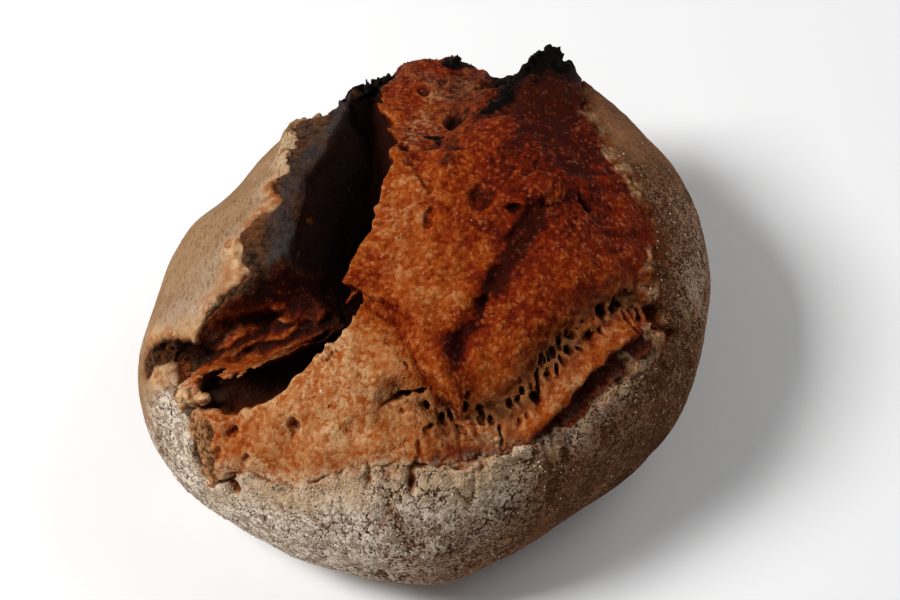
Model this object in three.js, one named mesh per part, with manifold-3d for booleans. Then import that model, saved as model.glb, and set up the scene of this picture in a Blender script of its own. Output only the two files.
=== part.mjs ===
// A round rye loaf whose crown burst open in the oven: a floured crust torn back on the left as a
// standing flap, a deep cleft behind it, a swollen inner dome and a scorched peak at the far right.
// Millimetres, +Z up, the origin at the centre of the flat base, the lowest side of the tear to -Y.

import * as THREE from "three";
import { mergeVertices } from "three/addons/utils/BufferGeometryUtils.js";
import Module from "manifold-3d";

// ---------------------------------------------------------------------------------------------
// The plain loaf

const HEART = [0.2, 3.1, 30]; // the point that all radii start from, level with the widest girth
const CROWN_RISE = 65; // from the heart to the top of the unbroken crown
const BELLY_DEPTH = 42; // how far the underside would curve down if the loaf had no flat base
const CROWN_SQUARENESS = 2.35; // 2 is an ellipse, more is boxier
const BELLY_SQUARENESS = 2.2;
const BASE_ROUNDING = 5; // softness of the edge between the flank and the flat base
// Radii of the girth at every thirtieth degree, counter-clockwise from +X
const GIRTH_RADII = [101, 107, 107, 100, 90, 89, 98, 111, 107, 107, 96, 98];

// The crust map is the crust laid flat round the crown: U runs along +X and V along +Y, and a
// point's distance from the middle is its angle from the crown times this radius.
const MAP_RADIUS = 90;

// ---------------------------------------------------------------------------------------------
// Lines on the crust map, in millimetres

// The torn edge of the floured crust
const TEAR_LINE = [
  [-54, 79], [-64, 43], [-66, 22], [-77, -10], [-82, -32], [-97, -44], [-93, -62], [-90, -80],
  [-92, -97], [-64, -101], [-30, -103], [4, -104], [36, -99], [60, -86], [78, -63], [95, -42],
  [90, -20], [91, 8], [75, 36], [66, 62], [60, 88], [30, 100], [-6, 103], [-36, 96],
];
// The hollow at the near end of the flap, where leafy torn layers lie under its edge
const HOLLOW_LINE = [
  [-54, -16], [-66, -29], [-79, -40], [-88, -51], [-80, -62], [-62, -66], [-46, -60], [-36, -46],
  [-42, -28],
];
const CREASE_LINE = [[44, -8], [36, -26], [25, -44], [14, -63], [4, -73]];
const LOBE_LINE = [[-33, -44], [-18, -52], [-7, -62], [0, -74], [10, -84]];
const PORE_LINE = [[-12, -84], [10, -91], [34, -90], [48, -79], [62, -62], [76, -46], [88, -33]];
const RIDGE_LINE = [[42, -93], [54, -82], [66, -68], [77, -53], [84, -42]];
const GROOVE_LINE = [[47, -95], [60, -84], [72, -69], [83, -54], [90, -45]];
const CHAR_LINE = [[24, 57], [33, 68], [42, 82], [47, 92]];
const LINE_STEPS = 96;

// ---------------------------------------------------------------------------------------------
// Heights and widths of the relief, in millimetres; angles in degrees round the crust map

const LIP_STEP = 3.5; // how far the burst lies below the torn edge of the crust
const FLAP_RISE = 8;
const FLAP_SWELL = 24; // how far the flap's swelling reaches down the flank
const FLAP_SLOPE = 0.75; // fall of the flap's torn face per millimetre inwards
const FLAP_FROM = 112;
const FLAP_TO = 214;
const HOLLOW_DROP = 8;
const HOLLOW_TILT = 0.3; // further fall of the hollow towards the slot
const HOLLOW_WALL = 6;
const DOME_RISE = 7;
const DOME_MIDDLE = [30, -14];
const DOME_REACH = [62, 74];
const NEAR_LOBE_RISE = 3;
const NEAR_LOBE_MIDDLE = [-24, -82];
const NEAR_LOBE_REACH = [44, 26];
const CREASE = { depth: 5.5, width: 5 };
const LOBE_STEP = { depth: 4.5, width: 6 };
const PORE_BAND = { depth: 4.5, width: 7 };
const RIDGE = { depth: -4, width: 5 };
const GROOVE = { depth: 5.5, width: 4.4 };
const PEAK_RISE = 15;
const PEAK_TOP = [47, 85];
const PEAK_REACH = 46;
const PEAK_SHARPNESS = 1.9;
const PEAK_CLIFF = 7; // width of the fall from the scorched edge into the saddle
const SADDLE_SINK = 4;
const SADDLE_MIDDLE = [4, 70];
const SADDLE_REACH = [34, 34];

// Pits where bubbles broke through: place on the map, radius and depth
const PITS = [
  { at: [-106, -51], radius: 6.5, depth: 4 },
  { at: [-93, -47], radius: 5, depth: 6 },
  { at: [-87, -47], radius: 4.5, depth: 7 },
  { at: [-88, -90], radius: 4.5, depth: 5 },
  { at: [95, -38], radius: 5, depth: 7 },
  { at: [99, -44], radius: 3.5, depth: 6 },
  { at: [58, -98], radius: 4, depth: 3 },
  { at: [-10, 62], radius: 5, depth: 5 },
  { at: [-9, 40], radius: 4.5, depth: 5 },
  { at: [20, 40], radius: 5, depth: 5 },
  { at: [68, -14], radius: 5, depth: 4 },
];

// Thin scorched shards that stand on the torn edges: place, height, foot radius and lean
const SHARDS = [
  { at: [48, 87], height: 13, foot: 10, lean: [-0.1, -0.1] },
  { at: [41, 83], height: 7, foot: 7, lean: [-0.35, 0] },
  { at: [37, 78], height: 5, foot: 4.5, lean: [-0.5, 0] },
  { at: [16, 92], height: 6, foot: 5, lean: [0.5, 0.5] },
  { at: [-31, 88], height: 6, foot: 5, lean: [0, 0.3] },
  { at: [-42, 80], height: 4, foot: 4, lean: [-0.2, 0.2] },
];
const SHARD_SIDES = 5;
const SHARD_SUNK = 4;

// Cuts that run along the crust: each has a route on the map, with the reach to either side of it
// and the depth below the plain crust at every point of the route
const CLEFT = [
  { at: [-29, 76], flapSide: 5, domeSide: 4, depth: 12 },
  { at: [-30, 64], flapSide: 9, domeSide: 7, depth: 26 },
  { at: [-31, 46], flapSide: 14, domeSide: 12, depth: 36 },
  { at: [-35, 22], flapSide: 17, domeSide: 16, depth: 42 },
  { at: [-40, 2], flapSide: 15, domeSide: 15, depth: 44 },
  { at: [-45, -16], flapSide: 13, domeSide: 13, depth: 43 },
  { at: [-46, -34], flapSide: 12, domeSide: 11, depth: 38 },
  { at: [-42, -50], flapSide: 7, domeSide: 6, depth: 32 },
];
const SLOT = [
  { at: [-33, -44], flapSide: 2, domeSide: 3, depth: 16 },
  { at: [-39, -56], flapSide: 4, domeSide: 4, depth: 26 },
  { at: [-49, -66], flapSide: 5, domeSide: 5, depth: 30 },
  { at: [-64, -70], flapSide: 5, domeSide: 5, depth: 28 },
  { at: [-78, -67], flapSide: 4, domeSide: 4, depth: 20 },
  { at: [-85, -64], flapSide: 1.5, domeSide: 1.5, depth: 10 },
];
// The cuts' cross-section: reach across as a share of either side's, and depth as a share
const CUT_SECTION = [
  [-1, 0], [-0.9, 0.35], [-0.62, 0.75], [-0.3, 1], [0.35, 1], [0.95, 0.85], [1.12, 0.55], [1, 0.2],
  [1, 0],
];
const CUT_ABOVE = 16; // how far the cuts reach out above the plain crust
const CUT_STEPS = 22;

// ---------------------------------------------------------------------------------------------
// How fine the faceted crust is

const CRUST_DETAIL = 21; // subdivisions of each edge of the starting icosahedron
const CROWN_CROWDING = 0.45; // share by which the facets crowd towards the crown

// ---------------------------------------------------------------------------------------------
// Helpers

const clamp01 = (x) => Math.min(1, Math.max(0, x));
const smooth = (from, to, x) => {
  const t = clamp01((x - from) / (to - from));
  return t * t * (3 - 2 * t);
};
const bell = (x, width) => Math.exp(-((x / width) ** 2));
const softMin = (a, b, softness) => {
  const h = Math.max(softness - Math.abs(a - b), 0) / softness;
  return Math.min(a, b) - (h * h * softness) / 4;
};

// 1 in the middle of an oval on the map, 0 from its edge outwards
function oval(u, v, [middleU, middleV], [reachU, reachV]) {
  const share = ((u - middleU) / reachU) ** 2 + ((v - middleV) / reachV) ** 2;
  return smooth(1, 0, share);
}

// A smooth line through a few points of the map, as many short straight steps
class MapLine {
  constructor(points, closed) {
    const curve = new THREE.CatmullRomCurve3(
      points.map(([u, v]) => new THREE.Vector3(u, v, 0)),
      closed,
      "catmullrom",
      0.5,
    );
    this.steps = curve.getPoints(LINE_STEPS);
  }

  // Distance from a place on the map to the line
  distance(u, v) {
    let least = Infinity;
    for (let i = 0; i < LINE_STEPS; i++) {
      const a = this.steps[i];
      const b = this.steps[i + 1];
      const du = b.x - a.x;
      const dv = b.y - a.y;
      const share = clamp01(((u - a.x) * du + (v - a.y) * dv) / (du * du + dv * dv));
      least = Math.min(least, Math.hypot(u - a.x - share * du, v - a.y - share * dv));
    }
    return least;
  }

  // Distance with a sign: positive outside a closed line, negative inside it
  signed(u, v) {
    let inside = false;
    for (let i = 0; i < LINE_STEPS; i++) {
      const a = this.steps[i];
      const b = this.steps[i + 1];
      if (a.y > v !== b.y > v && u < a.x + ((v - a.y) / (b.y - a.y)) * (b.x - a.x)) {
        inside = !inside;
      }
    }
    return (inside ? -1 : 1) * this.distance(u, v);
  }
}

const tear = new MapLine(TEAR_LINE, true);
const hollow = new MapLine(HOLLOW_LINE, true);
const crease = new MapLine(CREASE_LINE, false);
const lobeEdge = new MapLine(LOBE_LINE, false);
const poreBand = new MapLine(PORE_LINE, false);
const ridge = new MapLine(RIDGE_LINE, false);
const groove = new MapLine(GROOVE_LINE, false);
const charEdge = new MapLine(CHAR_LINE, false);

// ---------------------------------------------------------------------------------------------
// The plain loaf as a radius for every direction

const girthSpline = new THREE.CatmullRomCurve3(
  GIRTH_RADII.map((radius, i) => {
    const angle = (i * 2 * Math.PI) / GIRTH_RADII.length;
    return new THREE.Vector3(radius * Math.cos(angle), radius * Math.sin(angle), 0);
  }),
  true,
  "catmullrom",
  0.5,
);
const GIRTH_STEPS = 360;
const girth = Array.from({ length: GIRTH_STEPS + 1 }, (_, i) => {
  const point = girthSpline.getPoint(i / GIRTH_STEPS);
  return { angle: i === GIRTH_STEPS ? 2 * Math.PI : turn(point.y, point.x), radius: point.length() };
});

function turn(y, x) {
  const angle = Math.atan2(y, x);
  return angle < 0 ? angle + 2 * Math.PI : angle;
}

function girthRadius(angle) {
  const next = Math.max(1, girth.findIndex((entry) => entry.angle >= angle));
  const a = girth[next - 1];
  const b = girth[next];
  return a.radius + ((b.radius - a.radius) * (angle - a.angle)) / (b.angle - a.angle);
}

function plainRadius(direction) {
  const across = Math.hypot(direction.x, direction.y);
  const up = direction.z >= 0;
  const squareness = up ? CROWN_SQUARENESS : BELLY_SQUARENESS;
  const reach = up ? CROWN_RISE : BELLY_DEPTH;
  const wide = (across / girthRadius(turn(direction.y, direction.x))) ** squareness;
  const high = (Math.abs(direction.z) / reach) ** squareness;
  return (wide + high) ** (-1 / squareness);
}

// ---------------------------------------------------------------------------------------------
// The relief: how far the burst loaf stands off the plain one at a place on the crust map

function flapRise(u, v, toTear) {
  const angle = THREE.MathUtils.radToDeg(turn(v, u));
  const span = smooth(FLAP_FROM, FLAP_FROM + 24, angle) * smooth(FLAP_TO, FLAP_TO - 22, angle);
  const swell = toTear > 0 ? bell(toTear, FLAP_SWELL) : 1;
  return { span, rise: FLAP_RISE * span * swell };
}

function domeRise(u, v) {
  const dome = DOME_RISE * oval(u, v, DOME_MIDDLE, DOME_REACH);
  const lobe = NEAR_LOBE_RISE * oval(u, v, NEAR_LOBE_MIDDLE, NEAR_LOBE_REACH);
  return dome + lobe;
}

function furrows(u, v) {
  const cuts = [
    [crease, CREASE],
    [lobeEdge, LOBE_STEP],
    [poreBand, PORE_BAND],
    [ridge, RIDGE],
    [groove, GROOVE],
  ];
  return -cuts.reduce((sum, [line, cut]) => sum + cut.depth * bell(line.distance(u, v), cut.width), 0);
}

// The scorched peak is a steep cone with a cliff along its far left side
function peakRise(u, v) {
  const away = Math.hypot(u - PEAK_TOP[0], v - PEAK_TOP[1]) / PEAK_REACH;
  const cone = PEAK_RISE * clamp01(1 - away) ** PEAK_SHARPNESS;
  const [low, high] = [CHAR_LINE[0], CHAR_LINE[CHAR_LINE.length - 1]];
  const along = [high[0] - low[0], high[1] - low[1]];
  const side = along[0] * (v - low[1]) - along[1] * (u - low[0]);
  const leftOf = Math.sign(side) * charEdge.distance(u, v);
  return cone * smooth(PEAK_CLIFF, 0, leftOf);
}

function hollowDepth(u, v) {
  const inHollow = smooth(0, -HOLLOW_WALL, hollow.signed(u, v));
  const towardsSlot = Math.max(0, u - v * 0.9 + 24);
  return inHollow * (HOLLOW_DROP + HOLLOW_TILT * towardsSlot);
}

function relief(u, v) {
  const toTear = tear.signed(u, v);
  const { span, rise } = flapRise(u, v, toTear);
  const inside = smooth(0, -3, toTear);
  const flapFall = Math.min(FLAP_SLOPE * Math.max(0, -toTear), FLAP_RISE + LIP_STEP) * span;
  const saddle = SADDLE_SINK * oval(u, v, SADDLE_MIDDLE, SADDLE_REACH);
  const burst = domeRise(u, v) + furrows(u, v) - LIP_STEP * (1 - span) - saddle - hollowDepth(u, v);
  const pits = PITS.reduce((sum, { at, radius, depth }) => {
    return sum + depth * bell(Math.hypot(u - at[0], v - at[1]), radius);
  }, 0);
  return rise + peakRise(u, v) - flapFall + inside * burst - pits;
}

// ---------------------------------------------------------------------------------------------
// From a place on the map, or a direction from the heart, to a point on the loaf

const heart = new THREE.Vector3(...HEART);

function directionAt(u, v) {
  const fromCrown = Math.hypot(u, v) / MAP_RADIUS;
  const share = fromCrown > 0 ? Math.sin(fromCrown) / Math.hypot(u, v) : 0;
  return new THREE.Vector3(u * share, v * share, Math.cos(fromCrown));
}

function loafPoint(direction) {
  const fromCrown = Math.acos(THREE.MathUtils.clamp(direction.z, -1, 1));
  const across = Math.hypot(direction.x, direction.y) || 1;
  const u = (direction.x / across) * fromCrown * MAP_RADIUS;
  const v = (direction.y / across) * fromCrown * MAP_RADIUS;
  let radius = plainRadius(direction) + relief(u, v);
  if (direction.z < 0) {
    radius = softMin(radius, HEART[2] / -direction.z, BASE_ROUNDING);
  }
  const point = direction.clone().multiplyScalar(radius).add(heart);
  point.z = Math.max(point.z, 0);
  return point;
}

function depthPoint(u, v, depth) {
  const direction = directionAt(u, v);
  return direction.clone().multiplyScalar(plainRadius(direction) - depth).add(heart);
}

// ---------------------------------------------------------------------------------------------
// The solids

function crustGeometry() {
  const geometry = new THREE.IcosahedronGeometry(1, CRUST_DETAIL);
  geometry.deleteAttribute("normal");
  geometry.deleteAttribute("uv");
  const ball = mergeVertices(geometry);
  const position = ball.getAttribute("position");
  const direction = new THREE.Vector3();
  for (let i = 0; i < position.count; i++) {
    direction.fromBufferAttribute(position, i).normalize();
    const fromCrown = Math.acos(THREE.MathUtils.clamp(direction.z, -1, 1));
    const crowded = fromCrown - CROWN_CROWDING * Math.sin(fromCrown);
    const across = Math.hypot(direction.x, direction.y) || 1;
    const share = Math.sin(crowded) / across;
    direction.set(direction.x * share, direction.y * share, Math.cos(crowded));
    position.setXYZ(i, ...loafPoint(direction).toArray());
  }
  return ball;
}

// A cone whose foot is sunk in the torn edge and whose tip leans
function shardGeometry({ at, height, foot, lean }) {
  const direction = directionAt(...at);
  const base = loafPoint(direction);
  const axis = direction.clone().add(new THREE.Vector3(lean[0], lean[1], 0)).normalize();
  const length = height + SHARD_SUNK;
  const cone = new THREE.ConeGeometry(foot, length, SHARD_SIDES);
  cone.applyQuaternion(new THREE.Quaternion().setFromUnitVectors(new THREE.Vector3(0, 1, 0), axis));
  const middle = base.addScaledVector(axis, length / 2 - SHARD_SUNK);
  return cone.translate(middle.x, middle.y, middle.z);
}

// A closed loft along a cut's route, ring after ring of the cross-section
function cutGeometry(route) {
  const along = new THREE.CatmullRomCurve3(route.map(({ at }) => new THREE.Vector3(...at, 0)));
  const sizes = new THREE.CatmullRomCurve3(
    route.map(({ flapSide, domeSide, depth }) => new THREE.Vector3(flapSide, domeSide, depth)),
  );
  const rings = [];
  for (let i = 0; i <= CUT_STEPS; i++) {
    const place = along.getPoint(i / CUT_STEPS);
    const heading = along.getTangent(i / CUT_STEPS);
    const { x: flapSide, y: domeSide, z: depth } = sizes.getPoint(i / CUT_STEPS);
    const ring = CUT_SECTION.map(([across, down]) => {
      const reach = across * (across < 0 ? flapSide : domeSide);
      return depthPoint(place.x - heading.y * reach, place.y + heading.x * reach, down * depth);
    });
    for (const side of [domeSide, -flapSide]) {
      const u = place.x - heading.y * side;
      const v = place.y + heading.x * side;
      ring.push(depthPoint(u, v, -CUT_ABOVE));
    }
    rings.push(ring);
  }
  return loft(rings);
}

// Rings of equal count joined by quads, with a fan over each end
function loft(rings) {
  const count = rings[0].length;
  const middles = [rings[0], rings[rings.length - 1]].map((ring) =>
    ring.reduce((sum, point) => sum.add(point), new THREE.Vector3()).divideScalar(count),
  );
  const points = [...rings.flat(), ...middles];
  const faces = [];
  for (let i = 0; i < rings.length - 1; i++) {
    for (let j = 0; j < count; j++) {
      const a = i * count + j;
      const b = i * count + ((j + 1) % count);
      faces.push(a, b, b + count, a, b + count, a + count);
    }
  }
  const last = (rings.length - 1) * count;
  for (let j = 0; j < count; j++) {
    const next = (j + 1) % count;
    faces.push(points.length - 2, next, j);
    faces.push(points.length - 1, last + j, last + next);
  }
  const geometry = new THREE.BufferGeometry().setFromPoints(points);
  geometry.setIndex(faces);
  return geometry;
}

// ---------------------------------------------------------------------------------------------
// Joining and cutting

const wasm = await Module();
wasm.setup();

function solidOf(geometry) {
  const bare = geometry.clone();
  bare.deleteAttribute("normal");
  bare.deleteAttribute("uv");
  const merged = mergeVertices(bare, 1e-3);
  const solid = new wasm.Manifold(
    new wasm.Mesh({
      numProp: 3,
      vertProperties: merged.getAttribute("position").array,
      triVerts: new Uint32Array(merged.index.array),
    }),
  );
  return solid;
}

function geometryOf(solid) {
  const mesh = solid.getMesh();
  const geometry = new THREE.BufferGeometry();
  geometry.setAttribute("position", new THREE.BufferAttribute(mesh.vertProperties, mesh.numProp));
  geometry.setIndex(new THREE.BufferAttribute(mesh.triVerts, 1));
  geometry.computeVertexNormals();
  return geometry;
}

function loafSolid() {
  const whole = SHARDS.reduce(
    (solid, shard) => solid.add(solidOf(shardGeometry(shard))),
    solidOf(crustGeometry()),
  );
  const opened = [CLEFT, SLOT].reduce(
    (solid, route) => solid.subtract(solidOf(cutGeometry(route))),
    whole,
  );
  return opened.decompose().sort((a, b) => b.volume() - a.volume())[0];
}

// ---------------------------------------------------------------------------------------------
// The loaf

const bakedRye = new THREE.MeshStandardMaterial({
  name: "baked_rye",
  color: 0x8a5a35,
  roughness: 0.82,
  metalness: 0,
});

const loaf = new THREE.Mesh(geometryOf(loafSolid()), bakedRye);
loaf.name = "loaf";

const ryeLoaf = new THREE.Group();
ryeLoaf.name = "rye_loaf";
ryeLoaf.add(loaf);

export default ryeLoaf;
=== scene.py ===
import math

import bpy
import numpy as np
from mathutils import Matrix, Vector


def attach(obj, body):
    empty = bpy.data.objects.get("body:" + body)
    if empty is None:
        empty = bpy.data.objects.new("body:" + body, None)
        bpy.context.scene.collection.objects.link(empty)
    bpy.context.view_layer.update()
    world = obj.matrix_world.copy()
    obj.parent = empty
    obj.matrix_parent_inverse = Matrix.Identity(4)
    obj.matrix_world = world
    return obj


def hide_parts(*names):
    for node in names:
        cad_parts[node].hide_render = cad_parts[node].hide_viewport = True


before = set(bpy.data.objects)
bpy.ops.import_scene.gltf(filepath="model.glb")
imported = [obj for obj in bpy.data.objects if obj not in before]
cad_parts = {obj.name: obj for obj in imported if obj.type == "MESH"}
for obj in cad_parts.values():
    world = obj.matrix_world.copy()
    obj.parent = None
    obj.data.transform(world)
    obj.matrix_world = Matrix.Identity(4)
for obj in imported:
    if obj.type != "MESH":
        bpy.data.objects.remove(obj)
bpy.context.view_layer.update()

bl_info = {
    "name": "Burst Rye Loaf",
    "version": (1, 0, 0),
    "blender": (4, 5, 0),
    "location": "3D View > Sidebar > Bakery",
    "description": "Builds a floured rye loaf whose crown burst open in the oven, on a plain stage",
    "category": "Object",
}

NODE = "loaf"
BODY = "root"

# Shapes are worked out in millimetres and become metres when a mesh is made.
MM = 0.001
SEED = 41

# ----------------------------------------------------------------------------------------------
# The plain loaf, as the solid has it

HEART = np.array([0.2, 3.1, 30.0])  # all radii start here, level with the widest girth
CROWN_RISE = 65.0
BELLY_DEPTH = 42.0
CROWN_SQUARENESS = 2.35
BELLY_SQUARENESS = 2.2
BASE_ROUNDING = 5.0
GIRTH_RADII = [101, 107, 107, 100, 90, 89, 98, 111, 107, 107, 96, 98]  # every 30 degrees from +X

# The crust map is the crust laid flat round the crown: U runs along +X and V along +Y, and a
# point's distance from the middle is its angle from the crown times this radius.
MAP_RADIUS = 90.0
MAP_REACH = 150.0
MAP_STEP = 0.8

# ----------------------------------------------------------------------------------------------
# Lines on the crust map

TEAR_LINE = [
    (-64, 71), (-61, 47), (-60, 32), (-58, 17), (-63, 13), (-61, 1), (-67, -6), (-72, -13),
    (-71, -21), (-68, -27), (-70, -33), (-77, -37), (-83, -42), (-88, -47), (-97, -44), (-95, -55),
    (-93, -62), (-90, -68), (-90, -76), (-91, -84), (-92, -92), (-88, -97), (-78, -95), (-64, -101),
    (-45, -104), (-33, -103), (-18, -101), (1, -104), (21, -103), (34, -99), (42, -96), (50, -91),
    (60, -86.5), (70, -76), (75, -70), (84, -62), (91, -52), (98, -43), (92, -34), (88, -29),
    (90, -18), (92, -4), (89, 11), (83, 27), (73, 38), (67, 51), (64, 66), (63, 82), (62, 94),
    (54, 106), (30, 116), (0, 116), (-14, 112), (-27, 105), (-36, 95), (-39, 84), (-41, 74),
    (-50, 68),
]
HOLLOW_LINE = [
    (-54, -16), (-66, -28), (-78, -38), (-92, -46), (-93, -54), (-84, -61), (-74, -65), (-62, -67),
    (-46, -61), (-36, -46), (-42, -28),
]
CREASE_LINE = [(46, -4), (40, -18), (32, -33), (23, -48), (17, -60), (12, -68), (13, -79)]
LOBE_LINE = [(-33, -44), (-20, -52), (-11, -57), (-5, -66), (-1, -73), (5, -80), (10, -86)]
PORE_LINE = [
    (-12, -84), (4, -89), (16, -92), (31, -88), (42, -79), (51, -69), (60, -59), (72, -45),
    (85, -33),
]
RIDGE_LINE = [
    (40, -91.5), (46, -87.5), (54, -80), (60.5, -72.5), (66, -66), (72, -58), (79, -49), (84, -43),
]
GROOVE_LINE = [
    (43.5, -94), (49, -90), (56, -83.5), (62.5, -76.5), (68, -69.5), (75, -62), (81.5, -54.5),
    (87, -47),
]
LOW_RIDGE_LINE = [(-8, -101), (8, -100), (24, -98), (34, -95)]
CHAR_LINE = [(22, 58), (28, 64), (33, 72), (37, 80), (38.5, 88), (38.5, 98), (42, 112)]
STEPS_A_KNOT = 5

# Cuts that run along the crust: a point of the route, the reach to the flap's side and to the
# dome's side of it, and the depth below the plain crust
CLEFT = [
    ((-31, 93), 3, 6, 8), ((-31, 80), 6, 7, 20), ((-30, 64), 9, 8, 28), ((-31, 46), 14, 13, 36),
    ((-35, 22), 17, 16, 42), ((-40, 2), 15, 15, 44), ((-45, -16), 13, 13, 43), ((-46, -34), 12, 11, 38),
    ((-42, -50), 7, 6, 32),
]
SLOT_CUT = [
    ((-31, -45), 2, 2.5, 16), ((-36, -53.5), 4, 3.5, 24), ((-45, -62), 4.3, 4.3, 28),
    ((-56, -68), 4.2, 4.8, 28), ((-67, -71.2), 5.2, 5.2, 26), ((-77, -69.8), 4.6, 5.2, 20),
    ((-83, -67.5), 6.0, 4.6, 12),
]
SLIT_CUT = [((-20, -86), 0.4, 0.5, 4), ((-10, -83), 0.6, 0.7, 7), ((-2, -82), 1.0, 1.7, 10)]

# Thin leaves in the hollow: the line of the torn lip, with the leaf on its left, and its height
LEAVES = [
    ([(-91, -56), (-87, -57), (-83, -58.5), (-79, -60)], 2.6),
    ([(-86, -54), (-81, -56.5), (-77, -55.5), (-73, -52)], 2.8),
    ([(-83, -60), (-77, -62), (-71, -63), (-65, -63), (-59, -60.5), (-54, -57.5), (-49, -54)], 4.2),
    ([(-90, -60), (-86, -60.5), (-81, -63), (-75, -65.8), (-69, -66.5), (-62, -65.5), (-57, -63.5)], 3.6),
    ([(-77, -54), (-72, -56.5), (-67, -57), (-62, -54.5), (-58, -49)], 3.0),
    ([(-71, -48), (-65, -50), (-58, -48)], 2.6),
    ([(-87, -49), (-82, -52), (-78, -50), (-76, -44)], 2.2),
    ([(-80, -41), (-74, -44), (-67, -43.5)], 2.0),
    ([(-57, -50), (-52, -47.5), (-48, -42)], 2.2),
]

# Share of the reach that a cut has at each share of its depth, on the flap's and the dome's side
CUT_DEPTHS = [0.0, 0.12, 0.35, 0.6, 0.8, 1.0]
CUT_FLAP_SIDE = [1.0, 1.14, 1.2, 1.12, 0.85, 0.4]
CUT_DOME_SIDE = [1.0, 1.08, 1.2, 1.25, 1.1, 0.5]

# Pits: place on the map, reach along U and along V, depth
PITS = [
    ((-108, -46), (7, 7), 3), ((-97, -47), (4, 4), 6), ((-90, -50), (4, 4), 7),
    ((-92, -55), (3, 3), 5), ((-83, -80), (1.6, 3), 4), ((-75, -84.5), (2.4, 1.8), 4),
    ((-86, -88.5), (1.4, 2.6), 4), ((-82, -88), (2.2, 1.6), 3), ((-79, -99), (3, 4), 4),
    ((-71, -94), (2.5, 1.5), 2), ((-51, -88), (1.7, 3), 4), ((-76, -45), (3.5, 3), 4),
    ((-62, -49), (3, 2.5), 4), ((-88, -70.5), (5, 0.8), 3), ((-22, -104), (1.0, 3.6), 2.5),
    ((-6, -106), (1.6, 4.2), 3), ((-27, -90), (5, 4), 1.5), ((-14, 41), (2.6, 5), 5),
    ((-10, 25), (2, 3), 4), ((-9, 62), (2.4, 2), 2.5), ((12, 68), (4.5, 8), 5),
    ((27, 84), (6, 3), 4), ((-5, 86), (2, 2), 4), ((5, 91), (2.4, 2), 3), ((29, 73), (1.6, 1.8), 3),
    ((26, 69), (1.4, 1.4), 3), ((66.5, 5), (1.8, 4.5), 7), ((48, 19), (3, 4), 1.5),
    ((78, -37), (2, 3), 6), ((95, -35), (4, 5), 8), ((101, -40), (2.6, 3), 6),
    ((105, -37), (2, 2.6), 5), ((82, -42), (0.9, 3), 4), ((85, -40), (0.9, 3), 4),
    ((88, -38), (0.9, 2.6), 4), ((58, -98), (3, 3), 3), ((-30, -14), (4, 3), 2),
    ((2, -12), (3, 7), 2.2), ((22, 0), (5, 7), 3.4), ((36, -6), (4, 1.4), 2.5),
    ((12, -68), (6, 6), 2.2), ((22, -50), (2.6, 4), 2.4),
    # The open pores below the dome
    ((17, -84), (1.3, 1.6), 3), ((17, -88), (1.5, 1.8), 3.5), ((22, -89), (1.3, 1.8), 3.5),
    ((4, -93), (2, 1.7), 4), ((28, -96), (0.8, 2.4), 3.5), ((20, -96), (1, 1.4), 3),
    ((33, -86), (1.1, 1.4), 2.5), ((36.5, -84), (1.1, 1.5), 3), ((35, -91), (0.8, 1.5), 2.5),
    ((39, -88), (0.8, 1.2), 2.5), ((44.5, -82.5), (1.9, 2.2), 6), ((46.5, -77.5), (1.1, 3.6), 6),
    ((51, -74.5), (1.3, 1.3), 4), ((48, -71), (0.8, 1.5), 3), ((54.5, -70), (0.9, 1.9), 4),
    ((58, -65.5), (1.0, 1.9), 4), ((61.5, -61), (1.5, 2), 4), ((65, -60), (0.9, 0.9), 4),
    ((57, -58), (1.2, 1.5), 2.5), ((66.5, -54), (1.7, 1.5), 3.5), ((71, -51), (1.0, 1.2), 3.5),
    ((73, -43), (2.4, 3), 4.5), ((52, -66), (0.7, 1), 2.5), ((62, -55), (0.8, 1), 2.5),
    ((-4, -99), (0.8, 2.6), 3), ((-1, -95), (1.4, 1.4), 3), ((-3, -88), (2, 2), 2.5),
    ((9, -92), (1.1, 1.6), 3), ((12, -97), (1, 1.6), 3),
]

# Cream lumps of dough and flour at the torn end: place on the map, rise of the middle, radius
LUMPS = [
    ((-90.5, -64.8), 0.5, 3.3), ((-92.5, -67), -0.5, 2.2), ((-83.5, -68.5), -0.8, 2.0),
    ((-87, -67.5), -1.6, 1.8),
]
LUMP_FAR = 4.0  # a lump is left out of what lies further from it than this

# Where curds of pale crumb cling: place on the map, reach along U and V
PALE_SPOTS = [
    ((75, 38), (3.5, 3.5)), ((80, 31), (3.5, 3.5)), ((86, 22), (3, 5)), ((91, -14), (3.5, 6)),
    ((91, -26), (3, 4)),
    ((93, -43), (5, 4)), ((83, -59), (4, 4)), ((52, -97), (6, 3)), ((-41, -65), (3, 3)),
    ((68, 60), (4, 3.5)), ((72, 52), (2, 3)), ((26, -96), (6, 2)),
]

# Where the top of the burst sinks, or rises: place on the map, reach along U and V, depth
SADDLE = [
    ((4, 72), (38, 36), 5.0), ((-3, 106), (20, 30), -3.8), ((12, 105), (11, 14), -2.2),
    ((26, 102), (12, 16), 0.8), ((33, 101), (10, 24), 4.6),
]

# The smooth blister on the dome
BLISTER_MIDDLE = (49, 8)
BLISTER_REACH = (7.2, 8.7)
BLISTER_RISE = 2.1

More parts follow.
